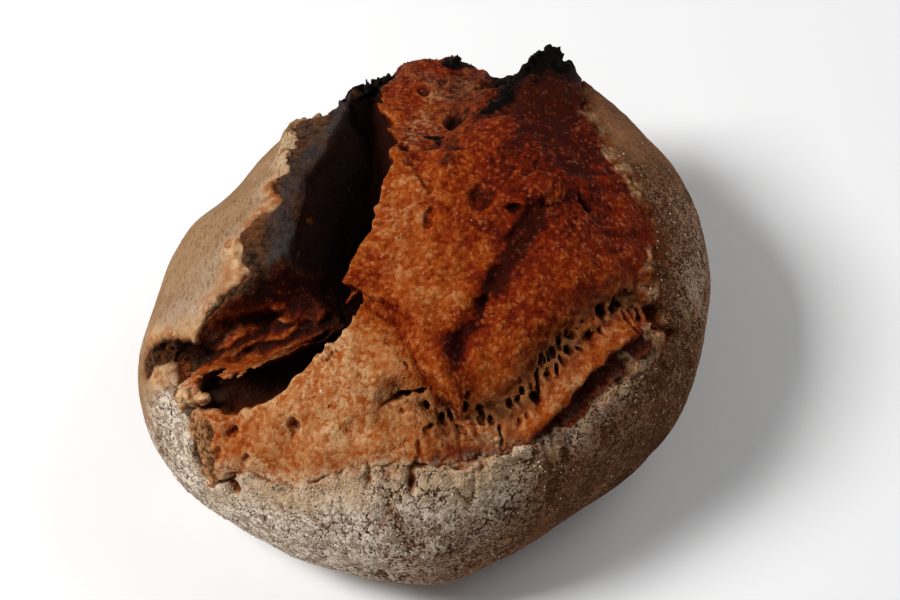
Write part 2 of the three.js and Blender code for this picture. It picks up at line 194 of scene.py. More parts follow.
# Thin scorched shards: place on the map, rise of the foot, height, foot radius and lean
SHARDS = [
    ((45.4, 87.5), 11.4, 2.6, 2.4, (0.0, 0.0)), ((47.8, 88), 11.0, 2.2, 2.2, (0.0, 0.0)),
    ((42, 85.5), 8.4, 2.4, 2.3, (-0.1, 0.1)), ((39.8, 83), 6.2, 2.6, 2.2, (-0.1, 0.1)),
    ((38.2, 80.5), 4.4, 2.4, 2.0, (-0.1, 0.0)), ((34, 75), 0.2, 2.4, 1.8, (-0.5, 0.0)),
    ((31, 69), 0.2, 2.2, 1.6, (-0.5, 0.2)), ((26, 63), 0.4, 2.0, 1.5, (-0.6, 0.0)),
    ((10, 103), 0.4, 4.6, 3.4, (1.5, 0.1)), ((-30, 97), -1.0, 4.5, 1.9, (0.0, 0.3)),
    ((-25, 99), -1.5, 3.0, 2.2, (0.3, 0.2)), ((-35, 89), 0.0, 2.4, 1.8, (-0.2, 0.2)),
    ((-20, 101), -1.0, 2.4, 2.2, (0.2, 0.1)), ((-41, 73), 0.0, 3.2, 1.6, (-0.1, 0.4)),
]
SHARD_SUNK = 3.0


# ----------------------------------------------------------------------------------------------
# Small helpers

def smooth(low, high, x):
    """Smooth step from 0 at low to 1 at high; low may be the larger."""
    t = np.clip((x - low) / (high - low), 0.0, 1.0)
    return t * t * (3 - 2 * t)


def bell(x, width):
    """1 at x = 0, falling off over the width."""
    return np.exp(-((x / width) ** 2))


def smooth_max(a, b, softness):
    """The larger of a and b, rounded where they are close."""
    h = np.maximum(softness - np.abs(a - b), 0.0) / softness
    return np.maximum(a, b) + h * h * softness * 0.25


def smooth_min(a, b, softness):
    """The smaller of a and b, rounded where they are close."""
    return -smooth_max(-a, -b, softness)


def spline(points, closed, steps):
    """Points at even parameter steps along a Catmull-Rom curve through the given ones."""
    knots = np.asarray(points, dtype=float)
    if closed:
        padded = np.vstack([knots[-1], knots, knots[0], knots[1]])
        spans = len(knots)
    else:
        first = 2 * knots[0] - knots[1]
        last = 2 * knots[-1] - knots[-2]
        padded = np.vstack([first, knots, last])
        spans = len(knots) - 1
    place = np.linspace(0, spans, steps + 1)
    span = np.minimum(place.astype(int), spans - 1)
    t = (place - span)[:, None]
    a, b, c, d = (padded[span + i] for i in range(4))
    return 0.5 * (2 * b + (c - a) * t + (2 * a - 5 * b + 4 * c - d) * t**2 + (3 * b - a - 3 * c + d) * t**3)


# ----------------------------------------------------------------------------------------------
# Random fields

class Grain:
    """Smooth and cellular random fields on a repeating lattice, the same at every run."""

    SIZE = 64

    def __init__(self, seed):
        rng = np.random.default_rng(seed)
        self.values = rng.uniform(-1, 1, self.SIZE**3).astype(np.float32)
        self.jitter = rng.uniform(0.15, 0.85, (self.SIZE**3, 3)).astype(np.float32)
        turn = np.linalg.qr(rng.normal(size=(3, 3)))[0]
        self.turn = turn.astype(np.float32)

    def _corners(self, cell):
        """Lattice index parts of a cell's near and far corners on each axis."""
        near = cell & (self.SIZE - 1)
        far = (cell + 1) & (self.SIZE - 1)
        strides = (self.SIZE * self.SIZE, self.SIZE, 1)
        return [(near[:, i] * strides[i], far[:, i] * strides[i]) for i in range(3)]

    def noise(self, points, wavelength, shift=0.0):
        """Smooth noise between about -1 and 1."""
        q = (points @ self.turn) / np.float32(wavelength) + np.float32(shift)
        cell = np.floor(q)
        f = q - cell
        f = f * f * (3 - 2 * f)
        xs, ys, zs = self._corners(cell.astype(np.int32))
        fx, fy, fz = f.T
        planes = []
        for x in xs:
            rows = []
            for y in ys:
                base = x + y
                low = self.values[base + zs[0]]
                rows.append(low + (self.values[base + zs[1]] - low) * fz)
            planes.append(rows[0] + (rows[1] - rows[0]) * fy)
        return (planes[0] + (planes[1] - planes[0]) * fx) * np.float32(1.6)

    def layers(self, points, wavelengths, heights, shift=0.0):
        """Several layers of noise, one wavelength and height each."""
        total = np.zeros(len(points), dtype=np.float32)
        for i, (wavelength, height) in enumerate(zip(wavelengths, heights)):
            total += height * self.noise(points, wavelength, shift + 7.3 * i)
        return total

    def cells(self, points, size, shift=0.0):
        """Distance to the nearest of one random seed point a cell, and that point's own value."""
        q = (points @ self.turn) / np.float32(size) + np.float32(shift)
        cell = np.floor(q - 0.5)
        xs, ys, zs = self._corners(cell.astype(np.int32))
        rest = q - cell
        nearest = np.full(len(points), 81.0, dtype=np.float32)
        value = np.zeros(len(points), dtype=np.float32)
        for i, x in enumerate(xs):
            for j, y in enumerate(ys):
                for k, z in enumerate(zs):
                    index = x + y + z
                    away = self.jitter[index] + np.array([i, j, k], dtype=np.float32) - rest
                    distance = np.einsum("ij,ij->i", away, away)
                    closer = distance < nearest
                    nearest = np.where(closer, distance, nearest)
                    value = np.where(closer, self.values[index], value)
        return np.sqrt(nearest) * np.float32(size), value


GRAIN = Grain(SEED)

# ----------------------------------------------------------------------------------------------
# The crust map: distances and heights held on a fine grid of map places

AXIS = np.arange(-MAP_REACH, MAP_REACH + MAP_STEP, MAP_STEP, dtype=np.float32)
U, V = np.meshgrid(AXIS, AXIS, indexing="ij")


def on_map(grid, u, v):
    """Reads a map grid at any places, clamped at the map's rim."""
    x = np.clip((u + MAP_REACH) / MAP_STEP, 0, len(AXIS) - 1.001)
    y = np.clip((v + MAP_REACH) / MAP_STEP, 0, len(AXIS) - 1.001)
    i = x.astype(np.int32)
    j = y.astype(np.int32)
    fx = (x - i).astype(np.float32)
    fy = (y - j).astype(np.float32)
    flat = grid.ravel()
    wide = grid.shape[1]
    at = i * wide + j
    near = flat[at] * (1 - fy) + flat[at + 1] * fy
    far = flat[at + wide] * (1 - fy) + flat[at + wide + 1] * fy
    return near * (1 - fx) + far * fx


def trace(points, closed=False):
    """For every map place: distance to the line, the side it lies on, and how far along it is."""
    steps = STEPS_A_KNOT * len(points)
    line = spline(points, closed, steps).astype(np.float32)
    least = np.full(U.shape, np.inf, dtype=np.float32)
    side = np.zeros(U.shape, dtype=np.float32)
    along = np.zeros(U.shape, dtype=np.float32)
    inside = np.zeros(U.shape, dtype=bool)
    for i in range(steps):
        (ax, ay), (bx, by) = line[i], line[i + 1]
        dx, dy = bx - ax, by - ay
        share = np.clip(((U - ax) * dx + (V - ay) * dy) / (dx * dx + dy * dy), 0, 1)
        gap_x = U - ax - share * dx
        gap_y = V - ay - share * dy
        gap = gap_x * gap_x + gap_y * gap_y
        closer = gap < least
        least = np.where(closer, gap, least)
        side = np.where(closer, np.sign(dx * gap_y - dy * gap_x), side)
        along = np.where(closer, (i + share) / steps, along)
        if closed:
            crosses = (ay > V) != (by > V)
            inside ^= crosses & (U < ax + (V - ay) * dx / (dy if dy else 1e-9))
    distance = np.sqrt(least)
    if closed:
        side = np.where(inside, -1.0, 1.0)
    return distance.astype(np.float32), side.astype(np.float32), along.astype(np.float32)


def oval_square(u, v, middle, reach):
    """Square of the distance from the middle of an oval on the map, 1 at its edge."""
    return ((u - middle[0]) / reach[0]) ** 2 + ((v - middle[1]) / reach[1]) ** 2


def oval_share(u, v, middle, reach):
    """Distance from the middle of an oval on the map, 1 at its edge."""
    return np.hypot((u - middle[0]) / reach[0], (v - middle[1]) / reach[1])


def oval(middle, reach):
    """1 in the middle of an oval on the map, 0 from its edge outwards."""
    return smooth(1.0, 0.0, oval_square(U, V, middle, reach)).astype(np.float32)


def signed(points):
    """Distance to a closed line, negative inside it."""
    distance, side, _ = trace(points, closed=True)
    return distance * side


class Cut:
    """A cut along a route: its signed distance across and its sizes at every map place."""

    def __init__(self, route):
        distance, side, along = trace([stop[0] for stop in route])
        # Positive towards the dome
        self.across = distance * side
        places = np.linspace(0, 1, len(route))
        sizes = [np.array([stop[i] for stop in route], dtype=float) for i in (1, 2, 3)]
        self.flap_side, self.dome_side, self.depth = (
            np.interp(along, places, size).astype(np.float32) for size in sizes
        )

    def void(self, u, v, t, ragged_flap, ragged_dome):
        """Negative inside the cut, for places u, v at depth t below the plain crust."""
        across = on_map(self.across, u, v)
        depth = on_map(self.depth, u, v)
        share = np.clip(t / depth, 0, 1)
        flap = on_map(self.flap_side, u, v) * np.interp(share, CUT_DEPTHS, CUT_FLAP_SIDE) + ragged_flap
        dome = on_map(self.dome_side, u, v) * np.interp(share, CUT_DEPTHS, CUT_DOME_SIDE) + ragged_dome
        beside = np.where(across < 0, -across - flap, across - dome)
        return smooth_max(beside.astype(np.float32), t - depth, 5.0)


class CrustMap:
    """Every height and mask that depends on the place on the map alone."""

    def __init__(self, shape):
        flap_rise, lip_step, dome_rise, peak_rise = (
            size / MM for size in (shape.flap_rise, shape.lip_step, shape.dome_rise, shape.peak_rise)
        )
        angle = np.degrees(np.arctan2(V, U)) % 360
        self.tear = signed(TEAR_LINE)
        self.cleft = Cut(CLEFT)
        self.slot = Cut(SLOT_CUT)
        self.slit = Cut(SLIT_CUT)
        self.hollow = signed(HOLLOW_LINE)
        self.flap_span = (smooth(124, 160, angle) * smooth(218, 200, angle)).astype(np.float32)
        turn = (angle + 180) % 360 - 180
        self.right = (smooth(-34, -20, turn) * smooth(84, 72, turn)).astype(np.float32)
        # Where the flap's torn face is ashen and meets the crust without a step
        self.ashen = (smooth(106, 114, angle) * smooth(214, 206, angle)).astype(np.float32)
        self.pores = trace(PORE_LINE)[0]
        self.crease, crease_side, _ = trace(CREASE_LINE)
        self.lobe, lobe_side, _ = trace(LOBE_LINE)
        self.ridge = trace(RIDGE_LINE)[0]
        self.groove = trace(GROOVE_LINE)[0]
        self.low_ridge = trace(LOW_RIDGE_LINE)[0]
        char, char_side, _ = trace(CHAR_LINE)
        self.left_of_char = char * char_side
        self.in_hollow = smooth(0, -6, self.hollow).astype(np.float32)
        self.to_slot = np.maximum(0, 0.27 * U - V)
        leaves = np.zeros(U.shape, dtype=np.float32)
        # Masks for painted light on the leaves: their lips get a painted highlight, the strip in front of
        # them painted shade
        self.leaf_lit = leaves.copy()
        self.leaf_shade = leaves.copy()
        for line, tall in LEAVES:
            distance, side, along = trace(line)
            behind = distance * side
            ends = smooth(0, 0.2, along) * smooth(1, 0.8, along)
            leaves += tall * ends * smooth(-0.5, 0.7, behind) * bell(np.maximum(behind, 0), 8.5)
            self.leaf_lit = np.maximum(self.leaf_lit, ends * bell(behind - 1.8, 2.6))
            shade = ends * smooth(-5.0, -0.5, behind) * (behind < 0.3)
            self.leaf_shade = np.maximum(self.leaf_shade, shade)

        # The torn flap: it stands proud of the crust, and its torn face falls inwards to a rim
        to_rim = -self.cleft.across - self.cleft.flap_side
        rim = 0.9 * bell(to_rim - 2, 3.0)
        swell = np.where(self.tear > 0, bell(self.tear, 24.0), 1.0)
        flap = flap_rise * self.flap_span * swell
        fall = np.minimum(0.6 * np.maximum(0, -self.tear), flap_rise + 2.5) - rim

        dome = dome_rise * oval((30, -14), (62, 74)) + 3 * oval((-24, -82), (44, 26))
        # Across the crease the dome's left part stands higher, and across the split the dome does
        steps = (
            -1.5 * crease_side * bell(self.crease, 13) * smooth(0, 5, self.crease)
            + 3.0 * lobe_side * bell(self.lobe, 10) * smooth(0, 3, self.lobe)
        )
        furrows = (
            1.1 * bell(self.crease, 4.5)
            + 2.2 * bell(self.lobe, 3.2)
            + 3.4 * bell(self.pores, 7.5)
            - 3.8 * bell(self.ridge, 3.7)
            + 4.0 * bell(self.groove, 3.2)
            - 2.0 * bell(self.low_ridge, 3.2)
        )
        aside = U - 46
        away = np.hypot(np.where(aside > 0, 0.62, 1.35) * aside, V - 87.5)
        cone = peak_rise * np.clip(1 - away / 11, 0, 1) ** 1.35 + 5.0 * np.clip(1 - away / 34, 0, 1) ** 1.2
        self.peak = (cone * smooth(1.5, -0.5, self.left_of_char)).astype(np.float32)
        strip = 1.6 * bell(self.left_of_char + 1, 2.4) * smooth(14, 22, U)
        strip = strip * smooth(50, 60, V) * smooth(80, 70, V)
        saddle = sum(depth * oval(middle, reach) for middle, reach, depth in SADDLE)
        to_blister = oval_share(U, V, BLISTER_MIDDLE, BLISTER_REACH)
        blister = BLISTER_RISE * smooth(1.02, 0.86, to_blister)
        hollow = self.in_hollow * (8 + 0.25 * self.to_slot) * smooth(-100, -74, U)
        outside = 1.2 * np.maximum(0, self.tear)
        # The crust stands over the crumb in front, and hardly at all on the right
        flush = np.maximum(np.maximum(self.ashen, self.right), 0.75 * bell(self.groove, 13))
        lip = lip_step * (1 - flush) * (1 - 0.95 * oval((-89, -84), (16, 26)))
        burst = dome + steps + strip + blister + leaves - furrows - lip - saddle - hollow - outside
        # The crust sinks behind the burst's far rim and behind the flap's far end
        sunk = 4.5 * bell(self.tear, 16) * smooth(6, 18, U) * smooth(52, 44, U) * smooth(70, 90, V)
        behind_flap = smooth(-70, -58, U) * smooth(2, -10, U) * smooth(60, 72, V)
        sunk = sunk + 4.0 * oval((32, 112), (14, 24))
        sunk = sunk + 1.8 * oval((-80, 36), (28, 32)) * smooth(0.5, 9, self.tear)
        sunk = sunk + 4.2 * oval((-90, 60), (34, 50)) * smooth(0.5, 9, self.tear)
        sunk = sunk + 5.0 * smooth(0.5, 6, self.tear) * bell(self.tear, 32) * behind_flap

        self.crust_rise = (flap + np.where(self.tear > 0, self.peak, 0) - sunk).astype(np.float32)
        self.burst_rise = (flap - fall * self.flap_span + self.peak + burst).astype(np.float32)
        pits = sum(
            depth * smooth(1.35, 0.5, oval_share(U, V, middle, reach))
            for middle, reach, depth in PITS
        )
        self.pits = pits.astype(np.float32)


# ----------------------------------------------------------------------------------------------
# Places in and on the loaf

def girth_table():
    """Radius of the girth at rising angles."""
    angles = np.radians(np.arange(len(GIRTH_RADII)) * 360 / len(GIRTH_RADII))
    knots = np.column_stack([GIRTH_RADII * np.cos(angles), GIRTH_RADII * np.sin(angles)])
    ring = spline(knots, True, 720)[:-1]
    turn = np.arctan2(ring[:, 1], ring[:, 0]) % (2 * np.pi)
    order = np.argsort(turn)
    turn = turn[order]
    radius = np.hypot(ring[:, 0], ring[:, 1])[order]
    return (
        np.concatenate([[turn[-1] - 2 * np.pi], turn, [turn[0] + 2 * np.pi]]),
        np.concatenate([[radius[-1]], radius, [radius[0]]]),
    )


GIRTH = girth_table()


class Places:
    """Points in millimetres in the row's frame, with their place on the map and their depth."""

    def __init__(self, points):
        self.points = points.astype(np.float32)
        x, y, z = (points - HEART).astype(np.float32).T
        across = np.hypot(x, y)
        self.radius = np.sqrt(across * across + z * z) + 1e-6
        turn = np.arctan2(y, x)
        fall = np.arctan2(across, z)
        self.u = MAP_RADIUS * fall * np.cos(turn)
        self.v = MAP_RADIUS * fall * np.sin(turn)
        girth = np.interp(turn % (2 * np.pi), *GIRTH)
        up = z >= 0
        square = np.where(up, CROWN_SQUARENESS, BELLY_SQUARENESS)
        tall = np.where(up, CROWN_RISE, BELLY_DEPTH)
        wide_share = across / self.radius / girth
        tall_share = np.abs(z) / self.radius / tall
        self.plain = ((wide_share**square + tall_share**square) ** (-1 / square)).astype(np.float32)
        # Depth below the plain crust
        self.depth = self.plain - self.radius


def direction_at(u, v):
    """Direction from the heart to a place on the map."""
    away = math.hypot(u, v)
    fall = away / MAP_RADIUS
    share = math.sin(fall) / away if away else 0.0
    return np.array([u * share, v * share, math.cos(fall)])


def plain_point(u, v, rise=0.0):
    """The point of the plain crust at a place on the map, lifted by rise."""
    direction = direction_at(u, v)
    plain = Places((HEART + direction)[None, :]).plain[0]
    return HEART + direction * (plain + rise)


# ----------------------------------------------------------------------------------------------
# From a field to a closed mesh

COARSE = 4  # fine steps in a coarse one
QUICK_FACTOR = 1.0


def surface(field, low, high, step, reach):
    """Vertices and quads around the space where the field is negative.

    The field is read on a coarse grid first, and finely only within reach of the surface.
    """
    span = step * COARSE
    counts = np.ceil((np.asarray(high) - low) / span).astype(int) + 1
    axes = [low[i] + span * np.arange(counts[i]) for i in range(3)]
    corners = np.stack(np.meshgrid(*axes, indexing="ij"), axis=-1).reshape(-1, 3)
    rough = field(corners, False).reshape(counts)
    least = rough[:-1, :-1, :-1].copy()
    most = least.copy()
    for i in (0, 1):
        for j in (0, 1):
            for k in (0, 1):
                part = rough[i : counts[0] - 1 + i, j : counts[1] - 1 + j, k : counts[2] - 1 + k]
                least = np.minimum(least, part)
                most = np.maximum(most, part)
    active = (least < reach) & (most > -reach)
    fine_counts = (counts - 1) * COARSE
    for axis in range(3):
        active = np.repeat(active, COARSE, axis=axis)
    signs = np.where(rough[:-1, :-1, :-1] < 0, -reach, reach).astype(np.float32)
    for axis in range(3):
        signs = np.repeat(signs, COARSE, axis=axis)
    wanted = np.flatnonzero(active)
    values = signs.ravel()
    for chunk in np.array_split(wanted, max(1, len(wanted) // 700000)):
        index = np.stack(np.unravel_index(chunk, fine_counts), axis=-1)
        values[chunk] = field(np.asarray(low) + step * index, True)
    values = values.reshape(fine_counts)
    for axis in range(3):
        edge = [slice(None)] * 3
        for end in (0, -1):
            edge[axis] = end
            values[tuple(edge)] = reach
    return surface_nets(values, np.asarray(low, dtype=float), step)


def surface_nets(values, low, step):
    """One vertex in every cell that the surface crosses, one quad on every edge that it crosses."""
    inside = values < 0
    size = np.array(values.shape) - 1
    count = np.zeros(size, dtype=np.uint8)
    offsets = [(i, j, k) for i in (0, 1) for j in (0, 1) for k in (0, 1)]
    for i, j, k in offsets:
        count += inside[i : size[0] + i, j : size[1] + j, k : size[2] + k]
    crossed = (count > 0) & (count < 8)
    cells = np.argwhere(crossed)
    number = np.full(size, -1, dtype=np.int32)
    number[crossed] = np.arange(len(cells), dtype=np.int32)
    corner = np.stack([values[tuple((cells + offset).T)] for offset in offsets], axis=1)
    total = np.zeros((len(cells), 3))
    hits = np.zeros(len(cells))
    for a, start in enumerate(offsets):
        for b, end in enumerate(offsets):
            if b <= a or sum(abs(s - e) for s, e in zip(start, end)) != 1:
                continue
            cut = (corner[:, a] < 0) != (corner[:, b] < 0)
            share = corner[:, a] / np.where(cut, corner[:, a] - corner[:, b], 1)
            where = np.array(start) + share[:, None] * (np.array(end) - start)
            total += where * cut[:, None]
            hits += cut
    vertices = low + step * (cells + total / hits[:, None])

    quads = []
    for axis in range(3):
        first, second = [(1, 2), (2, 0), (0, 1)][axis]
        head = [slice(None)] * 3
        tail = [slice(None)] * 3
        head[axis] = slice(0, -1)
        tail[axis] = slice(1, None)
        change = np.argwhere(inside[tuple(head)] != inside[tuple(tail)])
        keep = np.all([(change[:, i] >= 1) & (change[:, i] < size[i]) for i in (first, second)], axis=0)
        change = change[keep]
        outward = inside[tuple(change.T)]
        ring = []
        for a, b in ((-1, -1), (0, -1), (0, 0), (-1, 0)):
            cell = change.copy()
            cell[:, first] += a
            cell[:, second] += b
            ring.append(number[tuple(cell.T)])
        quad = np.stack(ring, axis=1)
        quad[~outward] = quad[~outward][:, ::-1]
        quads.append(quad)
    return vertices, np.concatenate(quads)


def mesh_from(name, vertices, faces):
    """A mesh in metres from millimetre vertices and faces of one size."""
    mesh = bpy.data.meshes.new(name)
    sides = faces.shape[1]
    mesh.vertices.add(len(vertices))
    mesh.vertices.foreach_set("co", (vertices * MM).astype(np.float32).ravel())
    mesh.loops.add(faces.size)
    mesh.loops.foreach_set("vertex_index", faces.astype(np.int32).ravel())
    mesh.polygons.add(len(faces))
    mesh.polygons.foreach_set("loop_start", np.arange(0, faces.size, sides, dtype=np.int32))
    mesh.update(calc_edges=True)
    mesh.validate()
    return mesh


def piece_from(name, mesh):
    """An object in the scene that holds the mesh."""
    piece = bpy.data.objects.new(name, mesh)
    bpy.context.scene.collection.objects.link(piece)
    return piece


def thinned(name, mesh, triangles):
    """The same surface with at most this many triangles, kept densest where it is roughest."""
    piece = piece_from(name + "_dense", mesh)
    modifier = piece.modifiers.new("thin", "DECIMATE")
    modifier.ratio = min(1.0, triangles / (2 * len(mesh.polygons)))
    depsgraph = bpy.context.evaluated_depsgraph_get()
    result = bpy.data.meshes.new_from_object(piece.evaluated_get(depsgraph))
    result.name = name
    bpy.data.objects.remove(piece)
    bpy.data.meshes.remove(mesh)
    result.polygons.foreach_set("use_smooth", np.ones(len(result.polygons), dtype=bool))
    return result


def coordinates(mesh):
    """The mesh's vertices in millimetres."""
    flat = np.empty(3 * len(mesh.vertices), dtype=np.float32)
    mesh.vertices.foreach_get("co", flat)
    return flat.reshape(-1, 3) / MM


def paint(mesh, name, values):
    """Stores one number a vertex under a name that the materials read."""
    attribute = mesh.attributes.new(name, "FLOAT", "POINT")
    attribute.data.foreach_set("value", np.clip(values, 0, 1).astype(np.float32))


# ----------------------------------------------------------------------------------------------
# The loaf's fields: negative inside

CRUST_MAP = {}
CORE_RADIUS = 42.0  # the crumb's mesh is closed this far from the heart, deep inside the crust
ROUGH_REACH = 3.6  # grain and pores are added this near to the surface
PORE_PULL = np.array([0.35, -0.72, -0.6], dtype=np.float32)  # the way the pores are drawn out


def crust_map(context):
    """The map for the present sizes, made once."""
    if "map" not in CRUST_MAP:
        CRUST_MAP["map"] = CrustMap(context.scene.rye_shape)
    return CRUST_MAP["map"]


def torn_edge(places, chart, fine):
    """Distance outside the ragged torn edge of the crust."""
    edge = on_map(chart.tear, places.u, places.v)
    if fine:
        edge = edge + GRAIN.layers(places.points, (13, 5.5, 2.6, 1.5), (1.3, 1.2, 0.9, 0.5), 3.1)
    return edge


def crust_field(context):
    """The floured crust: the loaf's flanks and base, open inside the torn edge."""
    chart = crust_map(context)

    def field(points, fine):
        places = Places(points)
        rise = on_map(chart.crust_rise, places.u, places.v)
        edge = torn_edge(places, chart, fine)
        rise = rise - on_map(chart.pits, places.u, places.v) * smooth(-4, 4, edge)
        if fine:
            calm = 1 - 0.65 * on_map(chart.ashen, places.u, places.v)
            rise = rise + calm * GRAIN.layers(places.points, (26, 9, 3.6), (0.7, 0.35, 0.14), 11.0)
            near = bell(edge, 5.0)
            rise = rise + near * GRAIN.layers(places.points, (4.5, 2.0), (0.9, 0.6), 17.0)
            rise = rise - crust_furrows(places, edge)
        skin = -places.depth - rise
        skin = smooth_max(skin, -places.points[:, 2], BASE_ROUNDING)
        opening = -edge * places.radius / MAP_RADIUS
        return smooth_max(skin, opening, 0.3)

    return field


def crust_furrows(places, edge):
    """Depth of the furrows that run down the crust from its torn edge."""
    turn = np.arctan2(places.v, places.u)
    fall = np.hypot(places.u, places.v)
    polar = np.column_stack([100 * turn, 0.3 * fall, 0.02 * places.radius]).astype(np.float32)
    furrow = bell(GRAIN.noise(polar, 7.5, 60.0), 0.13) * smooth(-0.3, 0.5, GRAIN.noise(polar, 11.0, 66.0))
    near = smooth(34, 6, edge) * smooth(0.6, 1.4, 2.2 - np.abs(turn + np.pi / 2 - 0.25))
    return 0.9 * near * furrow


def add_shards(skin, places, fine):
    """Joins the thin scorched shards to the field."""
    for at, rise, height, foot, lean in SHARDS:
        axis = direction_at(*at) + np.array([lean[0], lean[1], 0.0])
        axis = (axis / np.linalg.norm(axis)).astype(np.float32)
        base = plain_point(at[0], at[1], rise) - axis * SHARD_SUNK
        length = height + SHARD_SUNK
        away = places.points - base.astype(np.float32)
        near = np.flatnonzero(np.einsum("ij,ij->i", away, away) < (length + foot + 3) ** 2)
        if len(near) == 0:
            continue
        away = away[near]
        along = away @ axis
        aside = np.sqrt(np.maximum(np.einsum("ij,ij->i", away, away) - along**2, 0))
        ragged = GRAIN.layers(places.points[near], (3.2, 1.5), (0.9, 0.6), 29.0) if fine else 0.0
        share = np.clip(1 - along / length, 0, 1)
        width = foot * share**0.8
        cone = np.maximum(aside - width, -along) + ragged * np.minimum(1, 0.25 + 1.2 * share)
        cone = np.maximum(cone, along - length)
        skin[near] = smooth_min(skin[near], cone.astype(np.float32), 1.0)
    return skin


def lump_distance(points):
    """Distance outside the nearest cream lump, negative inside it."""
    nearest = np.full(len(points), LUMP_FAR, dtype=np.float32)
    for (u, v), rise, radius in LUMPS:
        middle = plain_point(u, v, rise).astype(np.float32)
        away = np.abs(points - middle).max(axis=1)
        near = np.flatnonzero(away < radius + LUMP_FAR)
        gap = points[near] - middle
        nearest[near] = np.minimum(nearest[near], np.sqrt(np.einsum("ij,ij->i", gap, gap)) - radius)
    return nearest


def add_lumps(skin, points, fine):
    """Joins the cream lumps, uneven as curds, to the field."""
    distance = lump_distance(points)
    near = np.flatnonzero(distance < LUMP_FAR - 1)
    curds = GRAIN.layers(points[near], (4.0, 1.9), (1.0, 0.7), 37.0) if fine else 0.0
    skin[near] = smooth_min(skin[near], distance[near] + curds, 0.8)
    return skin


def strayed(points, u, v):
    """Places on the map moved a little at random, so that no line on it runs true."""
    aside = GRAIN.layers(points, (12, 4.5, 2.2), (1.5, 0.9, 0.4), 70.0)
    along = GRAIN.layers(points, (12, 4.5, 2.2), (1.5, 0.9, 0.4), 80.0)
    return u + aside, v + along


def burst_field(context):
    """The torn crumb: dome, lobes, leafy hollow, cleft, slot, pores and scorched peak."""
    chart = crust_map(context)

    def field(points, fine):
        places = Places(points)
        u, v, depth = places.u, places.v, places.depth
        tear = on_map(chart.tear, u, v)
        ragged_flap = 0.0
        ragged_dome = 0.0
        at = (u, v)
        if fine:
            ragged_flap = GRAIN.layers(places.points, (9, 3.5), (0.5, 0.3), 5.0)
            ragged_dome = GRAIN.layers(places.points, (11, 5, 2.4), (1.6, 1.3, 0.6), 8.0)
            at = strayed(places.points, u, v)
        rise = on_map(chart.burst_rise, *at) - on_map(chart.pits, *at)
        skin = -depth - rise
        rib = 4.5 * bell(v - 58, 3.4) + 2.5 * bell(v - 34, 5)
        skin = smooth_max(skin, -chart.cleft.void(u, v, depth, ragged_flap, ragged_dome - rib), 0.5)
        skin = smooth_max(skin, -chart.slot.void(u, v, depth, ragged_flap, 0.5 * ragged_dome), 0.6)
        skin = smooth_max(skin, -chart.slit.void(u, v, depth, 0.3 * ragged_flap, 0.2 * ragged_dome), 0.4)
        if fine:
            skin = roughened(skin, places, chart, tear)
        skin = smooth_max(skin, (tear - 3.0) * places.radius / MAP_RADIUS, 1.0)
        skin = add_shards(skin, places, fine)
        skin = add_lumps(skin, places.points, fine)
        return np.maximum(skin, CORE_RADIUS - places.radius)

    return field


def roughened(skin, places, chart, tear):
    """Adds the torn crumb's grain and pores near the surface."""
    near = np.flatnonzero(np.abs(skin) < ROUGH_REACH)
    points = places.points[near]
    u, v = places.u[near], places.v[near]
    band = on_map(chart.flap_span, u, v) * smooth(1, -2, tear[near]) * smooth(-22, -18, tear[near])
    lumps = GRAIN.layers(points, (15, 7, 3.8), (0.9, 0.65, 0.35), 1.0)
    wild = 0.5 + 0.9 * smooth(-0.3, 0.7, GRAIN.noise(points, 16.0, 44.0))
    granules = wild * GRAIN.layers(points, (2.3, 1.3), (0.24, 0.18), 9.0)
    curds = pale_spots(u, v, points)
    granules = granules + curds * GRAIN.layers(points, (3.0, 1.5), (0.9, 0.5), 61.0)
    ridge = bell(on_map(chart.ridge, u, v), 4.5)
    blister = 0.93 * smooth(1.25, 1.0, oval_share(u, v, BLISTER_MIDDLE, BLISTER_REACH))
    sleek = np.maximum(np.maximum(0.6 * band, 0.75 * ridge), blister)
    crag = smooth(22, 8, np.hypot(u - 44, v - 88))
    granules = granules + crag * GRAIN.layers(points, (3.8, 1.9), (1.3, 0.8), 75.0)
    part = skin[near] + (1 - sleek) * (lumps + granules)
    distance, radius = pore_cells(points, u, v, chart)
    skin[near] = smooth_max(part, (radius - distance).astype(np.float32), 0.35)
    return skin


def pale_spots(u, v, points):
    """1 where curds of pale crumb cling to the torn edge."""
    share = np.zeros(len(u), dtype=np.float32)
    for middle, reach in PALE_SPOTS:
        share = np.maximum(share, np.exp(-oval_square(u, v, middle, reach)))
    return smooth(0.35, 0.7, share + 0.3 * GRAIN.noise(points, 2.6, 63.0))


def pore_cells(points, u, v, chart):
    """Distance to the nearest pore's middle and that pore's radius; the band's pores are drawn out."""
    crowd = bell(on_map(chart.pores, u, v), 6.5) * (1 - bell(on_map(chart.ridge, u, v), 5.5))
    drawn = points - 0.5 * (points @ PORE_PULL)[:, None] * PORE_PULL
    distance, value = GRAIN.cells(drawn, 3.3, 2.0)
    radius = 1.65 * crowd * (0.95 + 0.3 * value) + 1.1 * (value > 0.985) * (1 - crowd) - 0.35
    return distance, radius


# ----------------------------------------------------------------------------------------------
# Sizes and colours that a user would change

def srgb(code):
    """A colour for a shader from a web colour code."""
    parts = [int(code[i : i + 2], 16) / 255 for i in (0, 2, 4)]
    return tuple(c / 12.92 if c < 0.04045 else ((c + 0.055) / 1.055) ** 2.4 for c in parts) + (1.0,)


